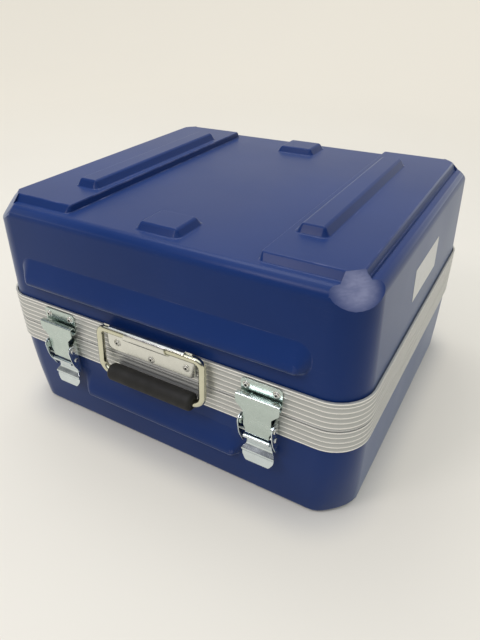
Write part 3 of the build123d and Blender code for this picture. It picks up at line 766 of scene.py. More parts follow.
@dataclass(frozen=True)
class PlatedSteel:
    """Plated sheet or wire: faint clouding, drawn lines, fine scratches, painted shade in hollows
    and rivet bores.
    """

    name: str
    color: Triple
    roughness: float
    stretch: Triple = (120.0, 120.0, 6.0)
    marks: float = 0.5
    scratched: Triple = (0.88, 0.88, 0.86)
    # Painted shade for the hollows
    dirt_and_shade: Triple = (0.14, 0.15, 0.13)
    hollow_shade_share: float = 0.3
    # Near-black painted shade for rivet bores, and at a lesser share round the domes' feet
    bore: Triple = (0.02, 0.02, 0.02)
    bore_shade_share: float = 0.94

    def build(self, effects: Effects) -> bpy.types.Material:
        """Makes the material."""
        material, wires, surface = new_material(self.name)
        drawn = wires.place(self.stretch)
        lines = wires.group(effects.streaks, Vector=drawn, Scale=3.0).outputs["Value"]
        cloud = wires.noise(wires.place(), 85.0, 5.0, 0.6)
        tone = wires.mix(wires.ramp(cloud, 0.32, 0.68), rgba(self.color, 0.92), rgba(self.color))
        finer = wires.place((3.0, 3.0, 3.0))
        scratch = wires.group(effects.scratches, Vector=finer, Amount=self.marks)
        tone = wires.mix(scratch.outputs["Mask"], tone, rgba(self.scratched))
        # Painted shade: the hollows, found by their pointiness, are darkened
        hollow = wires.times(wires.hollows(0.40, 0.49), self.hollow_shade_share)
        tone = wires.mix(hollow, tone, rgba(self.dirt_and_shade))
        # Painted shade: rivet bores near black, the rings round the domes' feet half as dark
        inside = wires.times(wires.attribute("bore"), self.bore_shade_share)
        limits = (self.roughness - 0.03, self.roughness + 0.06)
        wires.dress(
            surface, Base_Color=wires.mix(inside, tone, rgba(self.bore)), Metallic=1.0,
            Roughness=wires.ramp(cloud, 0.3, 0.72, limits), Normal=wires.bump(lines, 0.03, 0.0001),
        )
        return material


@dataclass(frozen=True)
class GripPlastic:
    """The grip's soft black plastic."""

    color: Triple = (0.013, 0.0125, 0.011)
    dusty: Triple = (0.035, 0.034, 0.029)
    roughness: Pair = (0.56, 0.68)
    specular: float = 0.3
    grain_size: float = 1500.0

    def build(self, effects: Effects) -> bpy.types.Material:
        """Makes the material."""
        material, wires, surface = new_material("grip_black")
        here = wires.place()
        worn = wires.group(effects.worn_edges, Vector=here, Reach=0.05, Amount=0.2).outputs["Mask"]
        dust = wires.ramp(wires.noise(here, 50.0, 5.0, 0.6), 0.45, 0.75, (0.0, 0.25))
        tone = wires.mix(wires.sums("MAXIMUM", worn, dust), rgba(self.color), rgba(self.dusty))
        grain = wires.group(effects.grain, Vector=here, Size=self.grain_size).outputs["Height"]
        wires.dress(
            surface, Base_Color=tone, Specular_IOR_Level=self.specular,
            Roughness=wires.ramp(wires.noise(here, 90.0, 3.0), 0.3, 0.7, self.roughness),
            Normal=wires.bump(grain, 0.35, 0.00015),
        )
        return material


@dataclass(frozen=True)
class OpenFoam:
    """Charcoal open-cell foam."""

    color: Triple = (0.045, 0.046, 0.050)
    roughness: float = 0.95
    sheen: float = 0.25
    specular: float = 0.2
    cell_scale: float = 620.0

    def build(self) -> bpy.types.Material:
        """Makes the material."""
        material, wires, surface = new_material("foam_charcoal")
        here = wires.place()
        cells = wires.add("TexVoronoi", {"feature": "F1"}, Vector=here, Scale=self.cell_scale)
        pore = wires.ramp(cells.outputs["Distance"], 0.15, 0.6)
        shade = wires.ramp(wires.noise(here, 14.0, 5.0, 0.6), 0.3, 0.7)
        tone = wires.mix(pore, rgba(self.color, 1.5), rgba(self.color, 0.6))
        height = wires.plus(pore, wires.times(wires.noise(here, 1400.0, 2.0), 0.6))
        wires.dress(
            surface, Base_Color=wires.mix(wires.times(shade, 0.35), tone, rgba(self.color)),
            Roughness=self.roughness, Sheen_Weight=self.sheen, Specular_IOR_Level=self.specular,
            Normal=wires.bump(height, 0.7, 0.0006),
        )
        return material


@dataclass(frozen=True)
class BlankLabel:
    """The bare face of a laminated label."""

    color: Triple = (0.74, 0.73, 0.68)
    dirt_and_shade: Triple = (0.52, 0.50, 0.45)
    roughness: float = 0.42

    def build(self) -> bpy.types.Material:
        """Makes the material."""
        material, wires, surface = new_material("label_bare")
        here = wires.place()
        fibre = wires.noise(here, 240.0, 4.0, 0.6)
        dirty = wires.ramp(wires.noise(here, 35.0, 5.0, 0.65), 0.5, 0.8, (0.0, 0.3))
        tone = wires.mix(wires.ramp(fibre, 0.3, 0.7), rgba(self.color, 0.95), rgba(self.color))
        wires.dress(
            surface, Base_Color=wires.mix(dirty, tone, rgba(self.dirt_and_shade)),
            Roughness=self.roughness, Normal=wires.bump(fibre, 0.08, 0.0002),
        )
        return material


@dataclass(frozen=True)
class SealRubber:
    """The seal's black rubber, with a faint bloom."""

    color: Triple = (0.015, 0.015, 0.016)
    bloomed: Triple = (0.05, 0.05, 0.052)
    roughness: float = 0.7

    def build(self) -> bpy.types.Material:
        """Makes the material."""
        material, wires, surface = new_material("seal_black")
        here = wires.place()
        bloom = wires.ramp(wires.noise(here, 60.0, 4.0, 0.6), 0.4, 0.75, (0.0, 0.4))
        wires.dress(
            surface, Base_Color=wires.mix(bloom, rgba(self.color), rgba(self.bloomed)),
            Roughness=self.roughness,
            Normal=wires.bump(wires.noise(here, 900.0, 2.0), 0.2, 0.0002),
        )
        return material


class Finishes:
    """Every finish on the case, built once."""

    def __init__(self) -> None:
        """Builds the materials."""
        effects = Effects()
        lengthwise = (6.0, 120.0, 120.0)
        self.by_slot = {
            Slot.SHELL: MouldedPlastic().build(effects),
            Slot.BAND: DrawnAluminium().build(effects),
            Slot.GRIP: GripPlastic().build(effects),
            Slot.FOAM: OpenFoam().build(),
            Slot.LABEL: BlankLabel().build(),
            Slot.SEAL: SealRubber().build(),
        }
        for slot, *looks in (
            (Slot.LATCH, "latch_zinc", (0.55, 0.635, 0.60), 0.23),
            (Slot.LEVER, "lever_zinc", (0.68, 0.75, 0.77), 0.20),
            (Slot.HINGE, "hinge_zinc", (0.66, 0.69, 0.67), 0.32),
            (Slot.HANDLE, "handle_zinc", (0.76, 0.76, 0.70), 0.20, lengthwise),
            (Slot.BAIL, "bail_wire", (0.66, 0.65, 0.50), 0.12, lengthwise, 0.3),
            (Slot.PIN, "pin_zinc", (0.70, 0.71, 0.69), 0.22),
            (Slot.RIVET, "rivet_aluminium", (0.74, 0.74, 0.70), 0.26),
        ):
            self.by_slot[slot] = PlatedSteel(*looks).build(effects)

    def dress_frame(self) -> None:
        """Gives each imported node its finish, so that none is left in a flat colour."""
        for entry in frame["record"]["subparts"]:
            node = frame["nodes"][entry["node"]]
            for slot in node.material_slots:
                slot.material = self.by_slot[Slot(entry["material_slot"])]


# The sides in x and y of the four corners
CORNERS = ((-1, -1), (-1, 1), (1, -1), (1, 1))


@dataclass
class RaisedForm:
    """A raised bar, panel or pad of the mould: sloping sides, rounded top edges, an eased foot."""

    outline: Outline
    slopes: list[float]
    height: float
    place: Matrix
    crowns: list[float]
    corner_r: float
    corner_steps: int
    foot_r: float
    sink: float = 1.6
    let_in: float = 0.02
    least_r: float = 0.4

    def spread(self, height: float, extra: float = 0.0, crown: float = 0.0) -> list[float]:
        """How far each side stands out from the top outline at a height."""
        rest = 1 - height / self.height
        return [slope * rest + extra - crown * r for slope, r in zip(self.slopes, self.crowns)]

    def levels(self) -> Levels:
        """The height of each ring, with each side's spread there."""
        made: Levels = [(-self.sink, self.spread(0, self.foot_r))]
        for turn in (90, 65, 40, 15):
            rise = self.foot_r * (1 - sin_deg(turn))
            out = self.foot_r * (sin_deg(turn) - cos_deg(turn))
            made.append((rise - self.let_in, self.spread(rise, out)))
        for turn in (0, 22, 45, 68, 90):
            height = self.height - max(self.crowns) * (1 - sin_deg(turn))
            made.append((height, self.spread(height, 0.0, 1 - cos_deg(turn))))
        return made

    def build(self) -> Form:
        """Skins the rings."""
        form = Form()
        loops = []
        for height, amounts in self.levels():
            outline = grown(self.outline, amounts)
            radius = max(self.least_r, self.corner_r + sum(amounts) / len(amounts))
            outline = rounded(outline, [radius] * len(outline), self.corner_steps)
            loops.append(form.ring(outline, self.place, height))
        return form.stack(loops)


@dataclass(frozen=True)
class WallBar:
    """A long bar on the front or the rear wall, with its crest nearer to its lower edge."""

    half_w: float
    low: float
    high: float
    slopes: Triple
    corner_r: float
    raised: float = 10.0
    shift: float = -2.5
    crown: float = 2.4
    corner_steps: int = 8
    foot_r: float = 0.7

    @property
    def middle(self) -> float:
        """The height of its middle over the parting line."""
        return (self.low + self.high) / 2

    def build(self, place: Matrix, tilt: float) -> Form:
        """Makes the bar.

        Args:
            place: The drawing of the wall that it stands on, at the height of its middle.
            tilt: How far the wall leans from upright.

        Returns:
            The form.
        """
        spot = place @ Matrix.Translation((self.shift, self.middle, 0))
        spot = spot @ Matrix.Rotation(tilt, 4, "X")
        under, over, ends = self.slopes
        flat = (self.high - self.low - under - over) / 2
        outline = rectangle(self.half_w - ends, flat, (0.0, (under - over) / 2))
        return RaisedForm(
            outline, [under, ends, over, ends], self.raised, spot, [self.crown] * 4,
            self.corner_r, self.corner_steps, self.foot_r,
        ).build()


def case_ring(inset: float, corner_r: float, steps: int = 10) -> Outline:
    """The case's outline, drawn in by an inset and with its own corner radius."""
    return rounded(rectangle(HALF_W - inset, HALF_D - inset), [corner_r] * 4, steps)


@dataclass
class LidShell:
    """The deep formed lid, with its end panels, ribs, pads, long bars and clipped corners."""

    finishes: Finishes
    rim_z: float = 124.4
    top_z: float = 263.0
    rim_inset: float = 2.1
    top_inset: float = 6.5
    top_corner_r: float = 36.0
    shoulder_r: float = 12.0
    wall: float = 3.5
    panel_h: float = 7.5
    rib_h: float = 8.5
    panel_x: Pair = (111.8, 201.0)
    panel_y: float = 171.0
    panel_clip: Pair = (12.0, 9.0)
    rib_x: float = 136.0
    rib_half: Pair = (11.0, 117.5)
    pad_half_w: float = 21.0
    pad_y: Pair = (135.5, 168.7)
    bar: WallBar = WallBar(177.0, 50.5, 85.5, (6.0, 23.5, 11.0), 2.4)
    facet_drop: float = 49.5
    facet_turns: Pair = (-4.0, 4.0)
    facet_match: float = 0.9998
    facet_area: float = 20.0
    tip: Triple = (201.0, 176.0, 255.0)
    tip_reach: float = 17.0
    tip_slant: float = 0.45
    less_scuffed: float = 0.35

    @property
    def lean(self) -> float:
        """How far the wall comes in for each millimetre up."""
        return (self.top_inset - self.rim_inset) / (self.top_z - self.rim_z)

    def inset_at(self, v: float) -> float:
        """How far in the wall is at a height over the parting line."""
        return self.rim_inset + (PARTING_Z + v - self.rim_z) * self.lean

    def skin(self, skin: float, shoulder_steps: int = 8) -> list[Triple]:
        """The height, inset and corner radius of each ring, a thickness inside the outer face."""
        made = []
        radius = self.shoulder_r - skin
        wall_top = self.top_z - self.shoulder_r
        for share in (0.0, 0.33, 0.66, 1.0):
            z = self.rim_z + (wall_top - self.rim_z) * share
            inset = self.rim_inset + (z - self.rim_z) * self.lean
            corner = (CORNER_R - self.rim_inset) * (1 - share) + self.top_corner_r * share
            made.append((z, inset + skin, corner - skin))
        z, inset, corner = made[-1]
        for k in range(1, shoulder_steps + 1):
            turn = 90 * k / shoulder_steps
            sink = radius * (1 - cos_deg(turn))
            made.append((z + radius * sin_deg(turn), inset + sink, corner - sink))
        return made

    def solid(self, skin: float) -> Form:
        """The lid's block, a thickness inside the outer face."""
        form = Form()
        return form.stack([
            form.ring(case_ring(inset, corner), top_frame(z))
            for z, inset, corner in self.skin(skin)
        ])

    def panel(self, side: Side) -> list[Form]:
        """An end panel and the rib on it."""
        x_in, x_out = self.panel_x
        clip_x, clip_y = self.panel_clip
        half = [
            (x_in, -self.panel_y), (x_out - clip_x, -self.panel_y), (x_out, -self.panel_y + clip_y),
            (x_out, self.panel_y - clip_y), (x_out - clip_x, self.panel_y), (x_in, self.panel_y),
        ]
        slopes = [6.5, 5.0, 3.2, 5.0, 6.5, 1.8]
        crowns = [0.9, 0.9, 1.6, 0.9, 0.9, 0.9]
        rib = rectangle(*self.rib_half, (self.rib_x, 0.0))
        if side is Side.LEFT:
            half, rib = ([(-x, y) for x, y in reversed(outline)] for outline in (half, rib))
            slopes, crowns = ([*reversed(row[:5]), row[5]] for row in (slopes, crowns))
        place = top_frame(self.top_z)
        panel = RaisedForm(half, slopes, self.panel_h, place, crowns, 2.0, 3, 0.8)
        place = top_frame(self.top_z + self.panel_h)
        slopes, crowns = [6.4, 6.2, 6.4, 6.2], [1.0, 2.2, 1.0, 2.2]
        raised = RaisedForm(rib, slopes, self.rib_h, place, crowns, 1.2, 3, 1.0)
        return [panel.build(), raised.build()]

    def pad(self, side: int) -> Form:
        """A small pad at the front or the rear."""
        near, far = self.pad_y
        outline = rectangle(self.pad_half_w, (far - near) / 2, (0.0, side * (near + far) / 2))
        slopes, crowns = [6.5, 6.2, 6.5, 6.2], [1.0, 2.2, 1.0, 2.2]
        place = top_frame(self.top_z)
        return RaisedForm(outline, slopes, self.panel_h, place, crowns, 1.4, 3, 1.0).build()

    def corner_cut(self, x_side: int, y_side: int, turn: float, skin: float) -> Form:
        """What is cut off a corner by one of its two facets.

        Args:
            x_side: The corner's side in x.
            y_side: The corner's side in y.
            turn: How far the facet is turned from the panel's clipped edge.
            skin: How far inside the outer face it lies.

        Returns:
            The solid that is cut away.
        """
        near, far, over, half = -2.0, 60.0, 20.0, 70.0
        clip_x, clip_y = self.panel_clip
        up, to_side = Vector((0, 0, 1)), Vector((x_side, y_side, 1))
        x, y, z = self.panel_x[1] - clip_x / 2, self.panel_y - clip_y / 2, self.top_z + self.panel_h
        spot = Vector((x, y, z))
        out = Vector((cos_deg(45.0 + turn), sin_deg(45.0 + turn), 0.0))
        spot -= (out * sin_deg(self.facet_drop) + up * cos_deg(self.facet_drop)) * skin
        spot, out = spot * to_side, out * to_side
        place = turned_frame(spot, out, up, out.cross(up))
        fall = math.tan(math.radians(self.facet_drop))
        wedge = [(near, -near * fall), (far, -far * fall), (far, over), (near, over)]
        return Form().prism(wedge, place, half, both=True)

    def corner_cuts(self, skin: float) -> list[Form]:
        """What is cut off the four corners, a thickness inside the outer face."""
        turns = self.facet_turns
        return [self.corner_cut(*corner, turn, skin) for corner in CORNERS for turn in turns]

    def corner_fill(self, x_side: int, y_side: int) -> Form:
        """What joins a panel's clipped corner to the shoulder, before the facets are cut."""
        depth = 9.0
        clip_x, clip_y = self.panel_clip
        x, y = self.panel_x[1], self.panel_y
        plan = [
            (x - clip_x - 1.0, y - 1.5), (x - 1.5, y - clip_y - 1.0), (x + 9.5, y - clip_y + 1.0),
            (x + 11.0, y + 1.0), (x + 5.0, y + 10.0), (x - 5.0, y + 15.0),
            (x - clip_x - 1.5, y + 13.0),
        ]
        plan = [(px * x_side, py * y_side) for px, py in plan]
        return Form().prism(plan, top_frame(self.top_z - depth), depth + self.panel_h)

    def groove(self, side: int) -> Form:
        """The narrow groove along a panel's outer foot, short of the clipped corners."""
        x, short = self.panel_x[1] + 3.2, 2.0
        section = [(x - 0.6, 0.9), (x + 1.0, -1.7), (x + 1.9, -1.7), (x + 3.2, 0.9)]
        place = Matrix(((side, 0, 0, 0), (0, 0, 1, 0), (0, 1, 0, self.top_z), (0, 0, 0, 1)))
        return Form().prism(section, place, self.panel_y - self.panel_clip[1] - short, both=True)

    def on_facet(self, face: bmesh.types.BMFace) -> bool:
        """Whether a face is a corner facet, or slants like one beside a corner's tip."""
        way = Vector((abs(face.normal.x), abs(face.normal.y), face.normal.z))
        for turn in self.facet_turns:
            level = sin_deg(self.facet_drop)
            facet = Vector((
                cos_deg(45.0 + turn) * level, sin_deg(45.0 + turn) * level, cos_deg(self.facet_drop)
            ))
            if way.dot(facet) > self.facet_match and face.calc_area() > self.facet_area:
                return True
        spot = face.calc_center_median()
        tip_x, tip_y, low = self.tip
        near = math.hypot(abs(spot.x) - tip_x, abs(spot.y) - tip_y) < self.tip_reach
        return near and spot.z > low and min(way.x, way.y) > self.tip_slant

    def scuffed(self, face: bmesh.types.BMFace) -> float:
        """How worn a face is: the near right corner is knocked most."""
        spot = face.calc_center_median()
        worn = 1.0 if spot.x > 0.0 > spot.y else self.less_scuffed
        return worn if self.on_facet(face) else 0.0

    def build(self) -> bpy.types.Object:
        """Joins the raised forms to the outside, cuts the corners and takes out the inside."""
        raised = [*self.panel(Side.LEFT), *self.panel(Side.RIGHT), self.pad(-1), self.pad(1)]
        for frame_at in (front_frame, rear_frame):
            wall = frame_at(-self.inset_at(self.bar.middle))
            raised.append(self.bar.build(wall, -math.atan(self.lean)))
        form = self.solid(0.0).combined(raised)
        form = form.combined([self.groove(-1), self.groove(1)], "DIFFERENCE")
        form = form.combined([self.corner_fill(*corner) for corner in CORNERS])
        form = form.combined(self.corner_cuts(0.0), "DIFFERENCE")
        inside = self.solid(self.wall).combined(self.corner_cuts(self.wall), "DIFFERENCE")
        form = form.combined([inside], "DIFFERENCE")
        form.bm.normal_update()
        # The shell finish lightens these edge roundings: wear and a painted highlight
        form.mark_narrow("edge", 0.7)
        form.mark("scuff", self.scuffed)
        form.ease_round("scuff", 1.5)
        piece = Piece("lid_shell_moulded", "lid", Slot.SHELL, ("lid_shell",), Crease.MOULDED)
        return piece.finish(form, self.finishes)


@dataclass
class BaseShell:
    """The shallow formed base: round corners at the rim that fair into cut ones at the floor."""

    finishes: Finishes
    rim_z: float = 115.9
    rim_inset: float = 2.1
    floor_inset: float = 5.0
    edge_r: float = 5.0
    corner_power: float = 2.4
    wall: float = 3.5
    bar: WallBar = WallBar(110.0, -82.5, -43.5, (6.0, 26.0, 10.0), 3.0)
    floor_corner: tuple[Pair, ...] = (
        (180.0, 195.0), (186.0, 194.5), (191.2, 192.6), (195.8, 189.6), (200.2, 186.0),
        (204.4, 182.1), (208.2, 178.0), (211.8, 173.6), (215.0, 168.8), (217.8, 163.3),
        (220.0, 157.0),
    )

    @property
    def lean(self) -> float:
        """How far the wall comes in for each millimetre down."""
        return (self.floor_inset - self.rim_inset) / self.rim_z

    def corner_at(self, share: float, inset: float) -> Outline:
        """The rear right corner at a share of the way down, from the rear round to the right."""
        centre = Vector((HALF_W - CORNER_R, HALF_D - CORNER_R))
        made = []
        for k, floor in enumerate(self.floor_corner):
            turn = 90 - 90 * k / (len(self.floor_corner) - 1)
            out = Vector((cos_deg(turn), sin_deg(turn)))
            rim = centre + out * (CORNER_R - self.rim_inset)
            spot = rim.lerp(Vector(floor), share ** self.corner_power)
            made.append(tuple(spot - out * inset))
        return made

    def outline(self, share: float, inset: float) -> Outline:
        """The whole outline at a share of the way down to the floor."""
        corner = self.corner_at(share, inset)
        quarters = ((corner, 1, -1), (corner[::-1], 1, 1), (corner, -1, 1), (corner[::-1], -1, -1))
        return [(x * x_side, y * y_side) for points, x_side, y_side in quarters for x, y in points]

    def shell(self) -> Form:
        """The base's wall, with no raised bar."""
        form = Form()
        shares = (0.0, 0.2, 0.38, 0.52, 0.64, 0.74, 0.82, 0.88)
        levels = [(self.rim_z * (1 - s), s, 0.0) for s in shares]
        for turn in (0, 18, 36, 54, 72, 90):
            z = self.edge_r * (1 - sin_deg(turn))
            levels.append((z, 1 - z / self.rim_z, self.edge_r * (1 - cos_deg(turn))))
        inner = [(self.rim_z * (1 - s), s, self.wall) for s in shares]
        inner.append((self.wall, 1 - self.wall / self.rim_z, self.wall))
        outside, inside = (
            [form.ring(self.outline(share, inset), top_frame(z)) for z, share, inset in rows]
            for rows in (levels, inner)
        )
        return form.stack([*reversed(outside), *inside])

    def build(self) -> bpy.types.Object:
        """Joins the bars to the wall."""
        inset = self.rim_inset + (self.rim_z - PARTING_Z - self.bar.middle) * self.lean
        walls = (front_frame(-inset), rear_frame(-inset))
        form = self.shell().combined([self.bar.build(wall, math.atan(self.lean)) for wall in walls])
        # The shell finish lightens these edge roundings: wear and a painted highlight
        form.mark_narrow("edge", 0.7)
        piece = Piece("base_shell_moulded", "base", Slot.SHELL, ("base_shell",), Crease.MOULDED)
        return piece.finish(form, self.finishes)


@dataclass
class EdgeBands:
    """The two ribbed extrusions that edge the lid and the base, and the seal between them."""

    finishes: Finishes
    flute_depth: float = 0.6
    flute_steps: int = 6
    ridge_half: float = 0.6
    lip: float = 1.2
    parting: float = 1.5
    ridge_sink: float = 0.05
    corner_steps: int = 12

    def ribs(self, ridges: Sequence[float], low: float, high: float, foot: float = 0.5) -> Outline:
        """The outer face, with shallow flutes between narrow ridges.

        Args:
            ridges: The height of each ridge.
            low: The height of the lower edge.
            high: The height of the upper edge.
            foot: How far the lower edge is chamfered.

        Returns:
            Its points from low to high, as distance out and height.
        """
        points = [(-foot, low), (-0.3 * foot, low + 0.3 * foot), (0.0, low + foot)]
        edges = [low + self.lip, *ridges, high - self.lip]
        for start, stop in zip(edges, edges[1:]):
            first, last = start + self.ridge_half, stop - self.ridge_half
            for k in range(self.flute_steps + 1):
                share = k / self.flute_steps
                depth = self.flute_depth * math.sin(math.pi * share)
                points.append((-depth, first + (last - first) * share))
        return [*points, (0.0, high - 0.5), (-0.15, high - 0.12), (-0.5, high)]

    def bend(self, section: Outline) -> Form:
        """Takes a section all the way round the case."""
        form = Form()
        edges = form.ring(section, side_frame(0.0))
        half_x, half_y = HALF_W - CORNER_R, HALF_D - CORNER_R
        runs = (
            (half_x, (1, 0), (1, -1)), (2 * half_y, (0, 1), (1, 1)), (2 * half_x, (-1, 0), (-1, 1)),
            (2 * half_y, (0, -1), (-1, -1)), (half_x, (1, 0), None),
        )
        for length, way, corner in runs:
            pulled = bmesh.ops.extrude_edge_only(form.bm, edges=edges)["geom"]
            edges = [g for g in pulled if isinstance(g, bmesh.types.BMEdge)]
            verts = list({v for e in edges for v in e.verts})
            bmesh.ops.translate(form.bm, vec=(way[0] * length, way[1] * length, 0), verts=verts)
            if corner is None:
                continue
            last = bmesh.ops.spin(
                form.bm, geom=edges, cent=(corner[0] * half_x, corner[1] * half_y, 0),
                axis=(0, 0, 1), angle=math.pi / 2, steps=self.corner_steps,
            )["geom_last"]
            edges = [g for g in last if isinstance(g, bmesh.types.BMEdge)]
        bmesh.ops.remove_doubles(form.bm, verts=form.bm.verts, dist=0.002)
        # Ridge tops are marked for the painted highlight in the band's finish
        form.mark("ridge", lambda face: max(self.depth(v.co) for v in face.verts) < self.ridge_sink)
        return form.outward()

    @staticmethod
    def depth(spot: Vector) -> float:
        """How far a point is inside the case's outline."""
        past_x = max(abs(spot.x) - HALF_W + CORNER_R, 0.0)
        past_y = max(abs(spot.y) - HALF_D + CORNER_R, 0.0)
        return CORNER_R - math.hypot(past_x, past_y)

    def lid_band(self) -> bpy.types.Object:
        """The wider band, on the lid."""
        section = [
            *self.ribs((5.0, 11.0, 17.0, 23.0, 29.0), 0.3, 34.0, self.parting), (-2.0, 34.0),
            (-2.0, 2.3), (-5.99, 2.3), (-5.99, 7.8), (-7.49, 7.8), (-7.49, 0.3), (-5.0, 0.3),
            (-5.0, -2.4), (-3.2, -2.4), (-3.2, 0.3),
        ]
        piece = Piece("lid_band_ribbed", "lid", Slot.BAND, ("lid_frame",), Crease.EXTRUDED)
        return piece.finish(self.bend(section), self.finishes)

    def base_band(self) -> bpy.types.Object:
        """The narrower band, on the base."""
        section = [
            *self.ribs((-19.0, -13.0, -7.0), -25.5, 0.0), (-2.1, 0.0), (-2.1, -4.4),
            (-6.1, -4.4), (-6.1, 0.0), (-7.9, 0.0), (-7.9, -11.5), (-6.4, -11.5), (-6.4, -6.0),
            (-2.0, -6.0), (-2.0, -25.5),
        ]
        piece = Piece("base_band_ribbed", "base", Slot.BAND, ("base_frame",), Crease.EXTRUDED)
        return piece.finish(self.bend(section), self.finishes)

    def seal(self) -> bpy.types.Object:
        """The rubber seal in the base band's slot."""
        section = [
            (-2.2, -4.4), (-2.2, -3.2), (-2.9, -2.75), (-5.3, -2.75), (-6.0, -3.2), (-6.0, -4.4)
        ]
        piece = Piece("frame_seal_soft", "base", Slot.SEAL, ("frame_seal",), Crease.MOULDED)
        return piece.finish(self.bend(section), self.finishes)

    def build(self) -> None:
        """Makes both bands and the seal."""
        self.lid_band()
        self.base_band()
        self.seal()


class SheetForm(Form):
    """Bent sheet metal, drawn on edge as rows of distance out, height and half width."""

    def strip(self, rows: Sequence[Triple], place: Matrix, columns: int = 4) -> "SheetForm":
        """Lays a strip across X along the rows.

        Args:
            rows: Distance out, height and half width at each station.
            place: The view on edge that the stations are drawn on.
            columns: The number of runs across.

        Returns:
            The form itself.
        """
        self.drape([
            [place @ Vector((n, v, half * (2 * k / columns - 1))) for k in range(columns + 1)]
            for n, v, half in rows
        ])
        return self

    def thickened(self, thickness: float, edge_r: float = 0.25) -> Form:
        """Gives the sheet its thickness about its middle, and eases its edges."""
        bmesh.ops.remove_doubles(self.bm, verts=self.bm.verts, dist=0.01)
        bmesh.ops.recalc_face_normals(self.bm, faces=self.bm.faces)
        mesh = self.to_mesh("sheet")
        work = scene_object("sheet", mesh)
        solid = work.modifiers.new("thickness", "SOLIDIFY")
        solid.thickness = thickness
        solid.offset = 0.0
        solid.use_even_offset = True
        graph = bpy.context.evaluated_depsgraph_get()
        thick = bpy.data.meshes.new_from_object(work.evaluated_get(graph))
        made = Form()
        made.bm.from_mesh(thick)
        bpy.data.objects.remove(work)
        bpy.data.meshes.remove(mesh)
        bpy.data.meshes.remove(thick)
        made.outward()
        return made.round_edges(edge_r, 50.0, 2)


def stations(line: Outline, heights: Sequence[float]) -> Outline:
    """Adds points to a line where it passes the given heights."""
    made = [line[0]]
    for (an, av), (bn, bv) in zip(line, line[1:]):
        inside = [h for h in heights if min(av, bv) + 0.01 < h < max(av, bv) - 0.01]
        for h in sorted(inside, reverse=bv < av):
            share = (h - av) / (bv - av)
            made.append((an + (bn - an) * share, h))
        made.append((bn, bv))
    return made


def width_at(v: float, widths: Sequence[Pair]) -> float:
    """The half width at a height, from pairs of height and half width that run upwards."""
    if v <= widths[0][0]:
        return widths[0][1]
    for (low, a), (high, b) in zip(widths, widths[1:]):
        if v <= high:
            return a + (b - a) * (v - low) / (high - low)
    return widths[-1][1]


@dataclass(frozen=True)
class RivetForm:
    """A blind rivet: a domed head with its open bore, the shank and the set tail."""

    head_r: float = 4.25
    head_h: float = 1.6
    bore_r: float = 1.4
    shank_r: float = 2.0
    tail_r: float = 3.2
    tail_h: float = 1.6

    def build(self, place: Matrix, grip: float) -> Form:
        """Turns one rivet.

        Args:
            place: The seat under its head, with z out of the surface.
            grip: The thickness that it holds together.

        Returns:
            The form.
        """
        top = self.head_h
        profile = [
            (0.0, -2.6), (self.bore_r, -2.6), (self.bore_r, top - 0.35),
            (self.bore_r + 0.1, top - 0.1), (self.bore_r + 0.35, top), (2.1, top - 0.05),
            (2.55, top - 0.25), (2.85, top - 0.6), (2.95, 0.62),
            (3.3, 0.56), (3.9, 0.5), (4.15, 0.36), (self.head_r, 0.15), (self.head_r - 0.08, 0.0),
            (self.shank_r, 0.0), (self.shank_r, -grip), (self.tail_r - 0.4, -grip),
            (self.tail_r, -grip - 0.4), (self.tail_r, -grip - self.tail_h + 0.5),
            (self.tail_r - 0.6, -grip - self.tail_h), (0.0, -grip - self.tail_h),
        ]
        return Form().lathe(profile, place, 28)


@dataclass
class RivetSets:
    """Every group of rivets on the case."""

    finishes: Finishes
    rivet: RivetForm = RivetForm()
    lid_grip: float = 6.1
    base_grip: float = 6.2
    bore_play: float = 0.08
    bore_low: float = -3.0
    foot_ring: Pair = (2.8, 3.2)
    foot_shade: float = 0.5

    def painted_bore_shade(self, spot: Vector, spots: Sequence[Pair]) -> float:
        """How much painted shade a point of the group gets: full in an open bore, less round a
        dome's foot.
        """
        near = min(math.hypot(spot.x - x, spot.y - v) for x, v in spots)
        if near < self.rivet.bore_r + self.bore_play and spot.z > self.bore_low:
            return 1.0
        inner, outer = self.foot_ring
        return self.foot_shade if inner < near < outer and spot.z > 0.0 else 0.0

    def group(self, name: str, body: str, spots: Sequence[Pair], place: Callable[[float], Matrix],
              seat: float, grip: float) -> bpy.types.Object:
        """Makes one group as one piece.

        Args:
            name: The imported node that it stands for.
            body: The body that it rides on.
            spots: Each rivet's x and height.
            place: The front's or the rear's drawing.
            seat: How far out the heads sit.
            grip: From the face under the head to the tail.

        Returns:
            The object.
        """
        on_seat = place(seat)
        rivets = [self.rivet.build(on_seat @ Matrix.Translation((x, v, 0)), grip) for x, v in spots]
        form = Form().join(*rivets)
        back = on_seat.inverted()
        # Marks where the rivet finish paints shade: in the open bores and round the domes' feet
        form.mark("bore", lambda face: self.painted_bore_shade(back @ face.calc_center_median(), spots))
        piece = Piece(name + "_domed", body, Slot.RIVET, (name,), Crease.TURNED)
        return piece.finish(form, self.finishes, even=False)

    def build(self) -> None:
        """Makes the keeper, handle, latch and hinge rivets."""
        keeper = [(x + s, 24.0) for x in (-LATCH_X, LATCH_X) for s in (-15.9, 15.9)]
        handle = [(-44.8, 17.1), (44.8, 17.1), (0.0, 11.2)]
        latch = [(x + s, -18.0) for x in (-LATCH_X, LATCH_X) for s in (-9.0, 9.0)]
        hinge = [(x + s, 18.0) for x in (-HINGE_X, HINGE_X) for s in (-16.0, 16.0)]
        under = [(x, -v) for x, v in hinge]
        for name, body, spots, place, seat in (
            ("keeper_rivets", "lid", keeper, front_frame, 1.5),
            ("handle_rivets", "lid", handle, front_frame, 1.8),
            ("latch_base_rivets", "base", latch, front_frame, 1.5),
            ("hinge_lid_rivets", "lid", hinge, rear_frame, 1.5),
            ("hinge_base_rivets", "base", under, rear_frame, 1.5),
        ):
            grip = self.lid_grip if body == "lid" else self.base_grip
            self.group(name, body, spots, place, seat, seat + grip)


